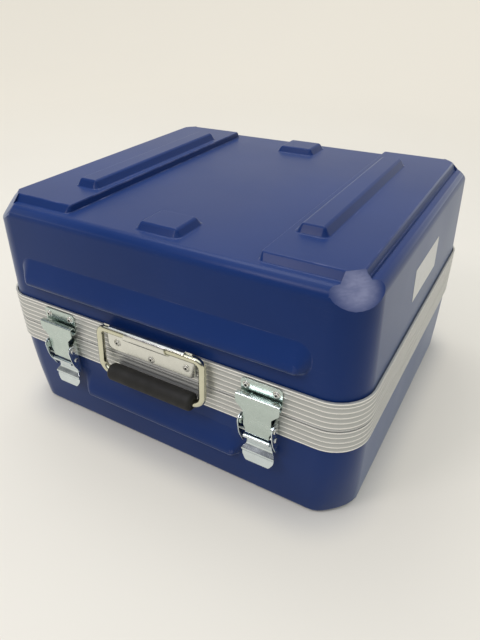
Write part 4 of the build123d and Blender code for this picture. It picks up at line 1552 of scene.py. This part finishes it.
@dataclass
class Latch:
    """One draw latch: the keeper, the base plate, the lever and the link, with their pins."""

    finishes: Finishes
    side: Side
    pivot: Pair = (8.8, -13.0)
    link_pin: Pair = (7.2, -27.0)

    @property
    def x(self) -> float:
        """The latch's middle."""
        return self.side.value * LATCH_X

    def named(self, stem: str, body: str, slot: Slot) -> Piece:
        """A piece that stands for this side's node of the same stem."""
        node = f"{stem}_{self.side.word}"
        return Piece(f"{node}_formed", body, slot, (node,), Crease.SHEET)

    def keeper(self) -> bpy.types.Object:
        """The catch plate on the lid, turned up at its foot into a lipped trough."""
        line = [(8.25, 14.0), (8.25, 13.0), *arc((4.5, 12.0), 3.75, 0.0, -180.0, 14)]
        line += [(0.75, v) for v in (14.0, 27.6, 28.6, 29.6, 30.5, 31.0)]
        widths = [(27.6, 22.0), (28.6, 21.8), (29.6, 21.2), (30.5, 20.0), (31.0, 18.6)]
        rows = [(n, v, width_at(v, widths)) for n, v in line]
        form = SheetForm().strip(rows, side_frame(self.x)).thickened(1.5, 0.3)
        return self.named("keeper", "lid", Slot.LATCH).finish(form, self.finishes)

    def base_plate(self) -> bpy.types.Object:
        """The plate under the lever, with an ear each side."""
        outline = rounded(rectangle(17.4, 11.0, (self.x, -13.0)), [2.0] * 4, 4)
        form = Form().prism(outline, front_frame(0.0), 1.5).round_edges(0.3)
        for side in (-1, 1):
            round_pivot = arc(self.pivot, 5.0, 70.0, -160.0, 12)
            ear = [(0.0, -2.4), (1.5, -2.0), (7.2, -8.3), *round_pivot, (1.5, -24.0), (0.0, -23.6)]
            ear.reverse()
            place = side_frame(self.x + side * 16.65)
            form.join(Form().prism(ear, place, 0.745, both=True).round_edges(0.2))
        return self.named("latch_base", "base", Slot.LATCH).finish(form, self.finishes)

    def pin_form(
        self, centre: Pair, radius: float, ends: Pair, head_r: float, heads: Sequence[int]
    ) -> Form:
        """A pin along X with a domed head at one or both ends.

        Args:
            centre: Its distance out and height.
            radius: The shaft's radius.
            ends: Where the shaft starts and ends, from the latch's middle.
            head_r: The head's radius.
            heads: -1 for a head at the start, 1 for one at the end.

        Returns:
            The form.
        """
        place = side_frame(self.x) @ Matrix.Translation((*centre, 0))
        low, high = ends
        dome = [(1.0, 0.0), (1.0, 0.35), (0.93, 0.7), (0.74, 0.98), (0.4, 1.14), (0.0, 1.2)]
        dome = [(head_r * share, h) for share, h in dome]
        start = [(r, low - h) for r, h in reversed(dome)] if -1 in heads else [(0.0, low)]
        end = [(r, high + h) for r, h in dome] if 1 in heads else [(0.0, high)]
        return Form().lathe([*start, (radius, low), (radius, high), *end], place, 24)

    def pivots(self) -> bpy.types.Object:
        """The two stub pivots of the lever."""
        form = self.pin_form(self.pivot, 2.0, (15.6, 19.2), 3.5, (1,))
        form.join(self.pin_form(self.pivot, 2.0, (-19.2, -15.6), 3.5, (-1,)))
        piece = self.named("lever_pivots", "base", Slot.PIN)
        return piece.finish(form, self.finishes, even=False)

    def through_pin(self) -> bpy.types.Object:
        """The pin that the link hangs on."""
        form = self.pin_form(self.link_pin, 1.5, (-18.95, 18.95), 2.5, (-1, 1))
        piece = self.named("link_pin", f"lever_{self.side.word}", Slot.PIN)
        return piece.finish(form, self.finishes, even=False)

    def link(self) -> bpy.types.Object:
        """The pull plate, with slanted ears, a folded claw and a knuckle round its pin."""
        knuckle = arc(self.link_pin, 2.15, -290.0, 290.0, 16)
        plate = bent_line([(9.35, -27.0), (10.0, 17.4), (4.6, 17.0), (3.9, 13.4)], [1.5, 1.2], 6)
        line = [*knuckle, *stations(plate, (-23.0, -19.0, -1.9, -1.0, 0.0, 6.2, 7.2, 8.0, 9.5))[1:]]
        widths = [
            (-30.0, 13.0), (-23.0, 13.0), (-19.0, 15.0), (-1.9, 15.2), (-1.0, 15.5), (0.0, 16.3),
            (6.2, 22.2), (7.2, 23.0), (8.0, 23.3), (99.0, 23.3),
        ]
        turn = len(knuckle)
        rows = [(n, v, 13.0 if i < turn else width_at(v, widths)) for i, (n, v) in enumerate(line)]
        form = SheetForm().strip(rows, side_frame(self.x)).thickened(1.2, 0.25)
        piece = self.named("latch_link", f"link_{self.side.word}", Slot.LATCH)
        return piece.finish(form, self.finishes)

    def lever(self) -> bpy.types.Object:
        """The lever: a rolled top, a hollow face, a double fold, a clipped tip and two cheeks."""
        roll = arc((10.2, -32.5), 1.6, -120.0, 300.0, 14)
        web = bent_line(
            [(8.6, -32.5), (4.4, -40.5), (3.6, -48.5), (8.6, -54.0), (7.0, -57.0), (9.2, -67.0)],
            [6.0, 3.5, 1.2, 1.5], 6,
        )
        steps = (-38.0, -40.5, -43.0, -45.5, -48.5, -50.4, -51.6, -60.0, -61.0, -62.0, -65.6, -66.2)
        line = [*roll, *stations(web, steps)[1:]]
        widths = [
            (-66.5, 12.6), (-66.2, 13.4), (-65.6, 14.2), (-62.0, 16.6), (-61.0, 17.1),
            (-60.0, 17.4), (-55.2, 18.0), (-54.0, 18.4), (-52.0, 17.6), (-49.0, 15.0),
            (-45.0, 13.9), (-40.5, 13.8), (-38.0, 14.2), (0.0, 14.6),
        ]
        rows = [(n, v, width_at(v, widths)) for n, v in line]
        form = SheetForm().strip(rows, side_frame(self.x)).thickened(1.2, 0.25)
        cheek = [
            *arc(self.pivot, 6.5, -8.0, 196.0, 16), (2.3, -34.0), (2.6, -43.0), (4.4, -46.8),
            (6.2, -44.6), (8.6, -39.0), (11.6, -33.0), (13.6, -26.0),
        ]
        for side in (-1, 1):
            place = side_frame(self.x + side * 18.3)
            form.join(Form().prism(cheek, place, 0.6, both=True).round_edges(0.25))
        piece = self.named("latch_lever", f"lever_{self.side.word}", Slot.LEVER)
        return piece.finish(form, self.finishes)

    def build(self) -> None:
        """Makes the latch's pieces."""
        self.keeper()
        self.base_plate()
        self.pivots()
        self.through_pin()
        self.link()
        self.lever()


@dataclass
class CarryHandle:
    """The folding handle: a plate rolled round the bail, the bail itself and its grip."""

    finishes: Finishes
    shift: float = 2.5
    barrel: Pair = (5.9, 35.0)
    barrel_r: float = 5.0
    plate_half_w: float = 56.0
    plate_low: float = 6.5
    drop: float = 52.0
    stand_off: float = 4.4
    bail_half_w: float = 65.25
    bail_r: float = 4.0
    grip_r: float = 9.78
    grip_half_w: float = 54.5

    def plate_patch(
        self, xs: Sequence[float], low: float, high: float, steps: int, widening: float = 0.0
    ) -> list[list[Vector]]:
        """Rows of the rolled part of the plate between two turns.

        Args:
            xs: Where the points of a row lie across the plate.
            low: The turn of the first row, in degrees.
            high: The turn of the last row.
            steps: The number of runs between them.
            widening: How much wider the last row is, as a share.

        Returns:
            The rows.
        """
        rows = []
        place = side_frame(0.0)
        for k in range(steps + 1):
            turn = low + (high - low) * k / steps
            n = self.barrel[0] - self.barrel_r * cos_deg(turn)
            v = self.barrel[1] + self.barrel_r * sin_deg(turn)
            wider = 1 + widening * k / steps
            rows.append([place @ Vector((n, v, x * wider)) for x in xs])
        return rows

    def flat_row(self, share: float, xs: Sequence[float]) -> list[Vector]:
        """A row of the plate's flat, its ends rounded at the foot and flared out a little."""
        end_r, flare, mid_n = 8.0, 2.2, 0.9
        place = side_frame(0.0)
        row = []
        for x in xs:
            over = max(0.0, abs(x) - (self.plate_half_w - end_r))
            low = self.plate_low + end_r - math.sqrt(max(0.0, end_r * end_r - over * over))
            v = low + (self.barrel[1] - low) * share
            out = flare * (over / end_r) ** 2 * (1 - share) ** 0.5
            row.append(place @ Vector((mid_n + out, v, x)))
        return row

    def plate(self) -> bpy.types.Object:
        """The plate, with a full knuckle at its middle and part rolls beside it."""
        side_xs = [25.0, 30.0, 36.0, 42.0, 46.0, 48.0]
        end_xs = [48.0, 49.5, 51.0, 52.5, 54.0, 55.2, 56.0]
        mid_xs = [5.0 * k for k in range(-5, 6)]
        outer_xs = [*side_xs, *end_xs[1:]]
        all_xs = [*(-x for x in reversed(outer_xs)), *mid_xs[1:], *outer_xs[1:]]
        end_turn, side_turn, mid_turn = 85.0, 132.0, 280.0
        form = SheetForm()
        form.drape([self.flat_row(k / 6, all_xs) for k in range(7)])
        for sign in (-1, 1):
            ends, sides = ([sign * x for x in xs] for xs in (end_xs, side_xs))
            form.drape(self.plate_patch(ends, 0.0, end_turn, 6))
            form.drape(self.plate_patch(sides, 0.0, end_turn, 6))
            form.drape(self.plate_patch(sides, end_turn, side_turn, 4))
        form.drape(self.plate_patch(mid_xs, 0.0, end_turn, 6))
        form.drape(self.plate_patch(mid_xs, end_turn, side_turn, 4))
        form.drape(self.plate_patch(mid_xs, side_turn, mid_turn, 12, 0.17))
        made = form.thickened(1.8, 0.3)
        piece = Piece("handle_plate_rolled", "lid", Slot.HANDLE, ("handle_plate",), Crease.SHEET)
        return piece.finish(made, self.finishes)

    def bail(self) -> bpy.types.Object:
        """The bent wire."""
        lean = math.atan2(self.stand_off, self.drop)
        length = math.hypot(self.stand_off, self.drop)
        place = Matrix((
            (1, 0, 0, self.shift), (0, -math.sin(lean), math.cos(lean), -HALF_D - self.barrel[0]),
            (0, -math.cos(lean), -math.sin(lean), PARTING_Z + self.barrel[1]), (0, 0, 0, 1),
        ))
        w = self.bail_half_w
        middle = [(-0.5, 0.0), (-w, 0.0), (-w, length), (w, length), (w, 0.0), (0.5, 0.0)]
        line = bent_line(middle, [8.5, 12.0, 12.0, 8.5], 10)
        form = Form()
        loops = []
        for i, (x, y) in enumerate(line):
            ahead = Vector(line[min(i + 1, len(line) - 1)]) - Vector(line[max(i - 1, 0)])
            way = ahead.normalized()
            across = Vector((-way.y, way.x, 0.0))
            section = Matrix((across, (0, 0, 1), way.to_3d())).transposed().to_4x4()
            section = place @ Matrix.Translation((x, y, 0.0)) @ section
            loops.append(form.ring(arc((0.0, 0.0), self.bail_r, 0.0, 360.0, 20)[:-1], section))
        form.stack(loops)
        piece = Piece("handle_bail_wire", "handle", Slot.BAIL, ("handle_bail",), Crease.ROUND)
        return piece.finish(form, self.finishes)

    def grip(self) -> bpy.types.Object:
        """The grip, its ends rounded over and its bore open round the wire."""
        half, radius = self.grip_half_w, self.grip_r
        end_r, end_h = 4.4, 4.25
        end = [(4.1, half), (4.9, half), (5.9, half - 0.15)]
        end += [
            (radius - end_r + end_r * cos_deg(turn), half - end_r + end_h * sin_deg(turn))
            for turn in (75, 60, 45, 30, 15, 0)
        ]
        low = [(r, -h) for r, h in reversed(end)]
        middle = (self.barrel[0] + self.stand_off, self.barrel[1] - self.drop, 0.0)
        place = side_frame(self.shift) @ Matrix.Translation(middle)
        form = Form().lathe([*end, *low, end[0]], place, 40)
        piece = Piece("handle_grip_moulded", "handle", Slot.GRIP, ("handle_grip",), Crease.ROUND)
        return piece.finish(form, self.finishes)

    def build(self) -> None:
        """Makes the handle's pieces."""
        self.plate()
        self.bail()
        self.grip()


@dataclass
class Hinge:
    """One butt hinge on the rear: a leaf on the lid, a leaf on the base and the knuckles."""

    finishes: Finishes
    side: Side
    half_w: float = 25.0
    leaf_t: float = 1.5
    stop_turn: float = 95.0
    knuckle_r: float = 3.55
    bore_r: float = 2.05

    @property
    def x(self) -> float:
        """The hinge's middle."""
        return self.side.value * HINGE_X

    def knuckle(self, low: float, high: float) -> Form:
        """A rolled knuckle between two distances from the hinge's middle."""
        place = rear_side_frame(self.x) @ Matrix.Translation((*HINGE_PIN, 0))
        r, bore, ease = self.knuckle_r, self.bore_r, 0.3
        profile = [
            (bore, low), (r - ease, low), (r, low + ease), (r, high - ease), (r - ease, high),
            (bore, high), (bore, low),
        ]
        return Form().lathe(profile, place, 32)

    def leaf(self, rises: bool) -> bpy.types.Object:
        """The lid's leaf, with the middle knuckle, or the base's, with the outer two."""
        sign = 1 if rises else -1
        low, high = (3.9, 26.0) if rises else (-24.0, -3.9)
        outline = rectangle(self.half_w, (high - low) / 2, (-self.x, (high + low) / 2))
        radii = [0.5, 0.5, 4.0, 4.0] if rises else [4.0, 4.0, 0.5, 0.5]
        form = Form().prism(rounded(outline, radii, 5), rear_frame(0.0), self.leaf_t)
        form.round_edges(0.25)
        spans = [(-12.5, 12.5)] if rises else [(-25.0, -12.8), (12.8, 25.0)]
        for a, b in spans:
            neck = rectangle((b - a) / 2, 2.2, (-self.x - (a + b) / 2, sign * 2.1))
            form.join(Form().prism(neck, rear_frame(0.0), self.leaf_t), self.knuckle(a, b))
        if rises:
            level, rise = cos_deg(self.stop_turn), sin_deg(self.stop_turn)
            across, up = Vector((0, level, rise)), Vector((0, -rise, level))
            spot = Vector((self.x, HALF_D + HINGE_PIN[0], PARTING_Z))
            place = turned_frame(spot, across, up, Vector((1, 0, 0)))
            tab = [(-2.0, -7.5), (-0.5, -7.5), (-0.5, -2.05), (-2.0, -2.05)]
            form.join(Form().prism(tab, place, 12.5, both=True))
        word = "lid" if rises else "base"
        node = f"hinge_{word}_leaf_{self.side.word}"
        piece = Piece(node + "_rolled", word, Slot.HINGE, (node,), Crease.SHEET)
        return piece.finish(form, self.finishes)

    def build(self) -> None:
        """Makes both leaves."""
        self.leaf(True)
        self.leaf(False)


@dataclass
class HingePins:
    """The two hinge pins, their ends eased."""

    finishes: Finishes

    def build(self) -> bpy.types.Object:
        """Turns both pins as one piece."""
        half = [(2.0, 25.5), (1.5, 26.0), (0.0, 26.0)]
        profile = [*((r, -h) for r, h in reversed(half)), *half]
        form = Form()
        for x in (-HINGE_X, HINGE_X):
            place = rear_side_frame(x) @ Matrix.Translation((*HINGE_PIN, 0))
            form.join(Form().lathe(profile, place, 24))
        piece = Piece("hinge_pins_eased", "base", Slot.PIN, ("hinge_pins",), Crease.TURNED)
        return piece.finish(form, self.finishes)


@dataclass
class FoamLinings:
    """The foam that lines the case: a pad and strips in the base, and a profiled pad in the lid."""

    finishes: Finishes
    inset: float = 10.0
    pad_z: Pair = (3.5, 31.5)
    strip_z: Pair = (31.6, 112.0)
    pocket: Pair = (165.0, 140.0)
    lid_inset: float = 14.0
    lid_z: Pair = (225.5, 259.5)
    wave_pitch: float = 26.0
    wave_h: float = 15.0
    corner_r: float = 55.0
    lid_corner_r: float = 57.0
    drift: float = 0.25
    drift_scale: float = 0.02

    def soft(self, name: str, body: str, node: str, form: Form) -> bpy.types.Object:
        piece = Piece(name, body, Slot.FOAM, (node,), Crease.FOAM).finish(form, self.finishes)
        return piece

    def cut_edge(self, form: Form, seed: float) -> Form:
        """Makes sawn foam's faces very slightly uneven."""
        for vert in form.bm.verts:
            drift = noise.noise(vert.co * self.drift_scale + Vector((seed, 0, 0))) * self.drift
            vert.co += Vector((drift, drift * 0.6, 0.0))
        return form

    def base_pad(self) -> bpy.types.Object:
        """The pad on the base's floor."""
        low, high = self.pad_z
        form = Form().prism(case_ring(self.inset, self.corner_r, 12), top_frame(low), high - low)
        form.round_edges(1.2, 60.0, 3)
        return self.soft("base_pad_foam", "base", "base_foam_pad", form)

    def strips(self) -> bpy.types.Object:
        """The four strips round the pocket."""
        full = case_ring(self.inset, self.corner_r, 12)
        low, high = self.strip_z
        px, py = self.pocket
        past, gap, over = 1.0, 0.1, 5.0
        out_x, out_y = HALF_W - self.inset + past, HALF_D - self.inset + past
        long_half, end_half = (out_x, (out_y - py) / 2), ((out_x - px) / 2, py - gap)
        cuts = [rectangle(*long_half, (0.0, s * (out_y + py) / 2)) for s in (-1, 1)]
        cuts += [rectangle(*end_half, (s * (out_x + px) / 2, 0.0)) for s in (-1, 1)]
        form = Form()
        for i, cut in enumerate(cuts):
            strip = Form().prism(full, top_frame(low), high - low)
            tool = Form().prism(cut, top_frame(low - over), high - low + 2 * over)
            made = strip.combined([tool], "INTERSECT").round_edges(1.4, 60.0, 3)
            form.join(self.cut_edge(made, float(i)))
        return self.soft("base_strips_foam", "base", "base_foam_strips", form)

    def lid_pad(self) -> bpy.types.Object:
        """The lid's pad, its lower face cut in waves."""
        past, over, under = 3.0, 4.0, 2.0
        half_w, half_d = HALF_W - self.lid_inset, HALF_D - self.lid_inset
        low, high = self.lid_z
        form = Form()
        bmesh.ops.create_grid(form.bm, x_segments=112, y_segments=99, size=1.0)
        bmesh.ops.scale(form.bm, vec=(half_w + past, half_d + past, 1), verts=form.bm.verts)
        per_mm = math.tau / self.wave_pitch
        for vert in form.bm.verts:
            wave = math.cos(per_mm * vert.co.x) * math.cos(per_mm * vert.co.y)
            vert.co.z = low + self.wave_h * (1 - wave) / 2
        skirt = bmesh.ops.extrude_face_region(form.bm, geom=form.bm.faces[:])
        top = [g for g in skirt["geom"] if isinstance(g, bmesh.types.BMVert)]
        for vert in top:
            vert.co.z = high + over
        form.outward()
        outline = case_ring(self.lid_inset, self.lid_corner_r, 12)
        block = Form().prism(outline, top_frame(low - under), high - low + under)
        made = form.combined([block], "INTERSECT")
        return self.soft("lid_pad_foam", "lid", "lid_foam", made)

    def build(self) -> None:
        """Makes the linings."""
        self.base_pad()
        self.strips()
        self.lid_pad()


@dataclass
class WallLabel:
    """The bare label on the right wall."""

    finishes: Finishes
    half_w: float = 47.0
    half_h: float = 18.0
    y: float = -6.0
    v: float = 84.0
    thickness: float = 0.25

    def build(self) -> bpy.types.Object:
        """Lays the label on the sloping wall."""
        lid = LidShell(self.finishes)
        across, out = Vector((0, 1, 0)), Vector((1, 0, lid.lean)).normalized()
        spot = Vector((HALF_W - lid.inset_at(self.v), self.y, PARTING_Z + self.v))
        place = turned_frame(spot, across, out.cross(across), out)
        outline = rounded(rectangle(self.half_w, self.half_h), [1.8] * 4, 4)
        form = Form().prism(outline, place, self.thickness).round_edges(0.08)
        piece = Piece("label_bare", "lid", Slot.LABEL, ("label_blank",), Crease.MOULDED)
        return piece.finish(form, self.finishes)


@dataclass
class Stage:
    """The pale floor, the soft lights and the camera.

    A ray that is seen, from the camera or sent on by metal or clear plastic, meets a floor that
    glows, dimmer near the case, and a pale backdrop. Other rays meet the plain floor and room.
    """

    eye: Triple = (0.3055, -0.5353, 0.4670)
    azimuth: float = 30.66
    elevation: float = 32.91
    roll: float = -0.88
    lens: float = 29.95
    aim: Triple = (0.0, 0.0, 0.15)
    floor_y: Pair = (-3000.0, 2600.0)
    floor_half_w: float = 5000.0
    floor_h: float = 3200.0
    sweep_r: float = 900.0
    floor_dark: Rgba = (0.63, 0.605, 0.545, 1.0)
    floor_light: Rgba = (0.65, 0.625, 0.56, 1.0)
    floor_roughness: float = 0.8
    glow: Rgba = (0.88, 0.83, 0.725, 1.0)
    glow_foot: float = 0.1
    glow_near: float = 0.34
    glow_far: float = 0.80
    footprint: Triple = (0.17, 0.16, 10.0)
    foot_reach: Pair = (0.045, 0.085)
    near_reach: Pair = (0.20, 2.2)
    horizon: Rgba = (0.12, 0.125, 0.14, 1.0)
    overhead: Rgba = (1.50, 1.56, 1.65, 1.0)
    backdrop: Rgba = (0.80, 0.77, 0.69, 1.0)
    shade: Rgba = (0.08, 0.085, 0.10, 1.0)

    @staticmethod
    def seen(wires: Nodes) -> bpy.types.NodeSocket:
        """One for a ray from the camera, or one that metal or clear plastic sends on."""
        rays = wires.add("LightPath").outputs
        sent_on = wires.sums("MAXIMUM", rays["Is Glossy Ray"], rays["Is Transmission Ray"])
        return wires.sums("MAXIMUM", rays["Is Camera Ray"], sent_on)

    def floor(self) -> None:
        """A sweep of pale floor that curves up behind the case."""
        near, far = self.floor_y
        profile = bent_line([(near, 0.0), (far, 0.0), (far, self.floor_h)], [self.sweep_r], 24)
        ends = (-self.floor_half_w, self.floor_half_w)
        form = Form().drape([[Vector((x, y, z)) for y, z in profile] for x in ends]).outward()
        bmesh.ops.scale(form.bm, vec=(MM, MM, MM), verts=form.bm.verts)
        mesh = form.to_mesh("floor_sweep")
        mesh.shade_smooth()
        sweep = scene_object("floor_sweep", mesh)
        material, wires, surface = new_material("floor_pale")
        cloud = wires.ramp(wires.noise(wires.place(), 2.0, 3.0), 0.3, 0.7)
        tone = wires.mix(cloud, self.floor_dark, self.floor_light)
        wires.dress(surface, Base_Color=tone, Roughness=self.floor_roughness)
        glow = wires.add("Emission", Color=self.glow, Strength=1.0)
        past = wires.vectors("ABSOLUTE", wires.place()).outputs["Vector"]
        past = wires.vectors("SUBTRACT", past, self.footprint).outputs["Vector"]
        past = wires.vectors("MAXIMUM", past).outputs["Vector"]
        away = wires.vectors("LENGTH", past).outputs["Value"]
        reach = wires.ramp(away, *self.near_reach, (self.glow_near, self.glow_far))
        foot = wires.ramp(away, *self.foot_reach, (self.glow_foot, 1.0))
        share = wires.times(self.seen(wires), wires.times(reach, foot))
        blend = wires.add("MixShader")
        wires.feed(blend.inputs[0], share)
        wires.feed(blend.inputs[1], surface.outputs["BSDF"])
        wires.feed(blend.inputs[2], glow.outputs["Emission"])
        end = material.node_tree.nodes["Material Output"]
        wires.feed(end.inputs["Surface"], blend.outputs["Shader"])
        mesh.materials.append(material)

    def lamp(self, name: str, spot: Triple, size: Pair, watts: float, color: Triple) -> None:
        """A soft square or oblong lamp that faces the case.

        Args:
            name: Its name.
            spot: Where it stands.
            size: Its width and height.
            watts: Its power.
            color: Its colour.
        """
        data = bpy.data.lights.new(name, "AREA")
        data.shape = "RECTANGLE"
        data.size, data.size_y = size
        data.energy = watts
        data.color = color
        lamp = scene_object(name, data)
        lamp.location = spot
        lamp.rotation_mode = "QUATERNION"
        lamp.rotation_quaternion = (Vector(self.aim) - Vector(spot)).to_track_quat("-Z", "Y")

    def world(self) -> None:
        """A dim room, bright overhead, and for rays that are seen pale low down and dark above."""
        world = bpy.data.worlds.new("pale_room")
        bpy.context.scene.world = world
        world.use_nodes = True
        wires = Nodes(world.node_tree)
        way = wires.add("SeparateXYZ", Vector=wires.add("TexCoord").outputs["Generated"])
        up = way.outputs["Z"]
        room = wires.mix(wires.ramp(up, 0.2, 0.95), self.horizon, self.overhead)
        high = wires.mix(wires.ramp(up, 0.6, 0.95), self.shade, self.overhead)
        shown = wires.mix(wires.ramp(up, 0.28, 0.45), self.backdrop, high)
        color = wires.mix(self.seen(wires), room, shown)
        wires.dress(world.node_tree.nodes["Background"], Color=color, Strength=1.0)

    def camera(self) -> None:
        """The camera at the photograph's angle."""
        az, el, roll = (math.radians(a) for a in (self.azimuth, self.elevation, self.roll))
        back = Vector((math.sin(az) * math.cos(el), -math.cos(az) * math.cos(el), math.sin(el)))
        right = (-back).cross(Vector((0, 0, 1))).normalized()
        up = right.cross(-back)
        side = right * math.cos(roll) + up * math.sin(roll)
        top = up * math.cos(roll) - right * math.sin(roll)
        data = bpy.data.cameras.new("camera")
        data.lens = self.lens
        data.clip_start = 0.01
        data.clip_end = 50.0
        camera = scene_object("camera", data)
        camera.matrix_world = turned_frame(Vector(self.eye), side, top, back)
        bpy.context.scene.camera = camera

    def build(self) -> None:
        """Sets the stage."""
        bpy.context.scene.view_settings.view_transform = "Standard"
        self.floor()
        self.world()
        self.lamp("key_lamp", (-0.80, -1.61, 1.97), (0.6, 0.6), 14.0, (1.0, 0.92, 0.97))
        self.lamp("top_lamp", (-0.7, 0.7, 2.2), (1.3, 1.3), 16.0, (1.0, 0.99, 0.97))
        self.camera()


def main() -> None:
    """Builds the case, class by class."""
    logging.basicConfig(level=logging.INFO, format="%(name)s: %(message)s")
    Stage().build()
    finishes = Finishes()
    finishes.dress_frame()
    LidShell(finishes).build()
    BaseShell(finishes).build()
    EdgeBands(finishes).build()
    RivetSets(finishes).build()
    for side in Side:
        Latch(finishes, side).build()
        Hinge(finishes, side).build()
    HingePins(finishes).build()
    CarryHandle(finishes).build()
    FoamLinings(finishes).build()
    WallLabel(finishes).build()


if __name__ == "__main__":
    main()
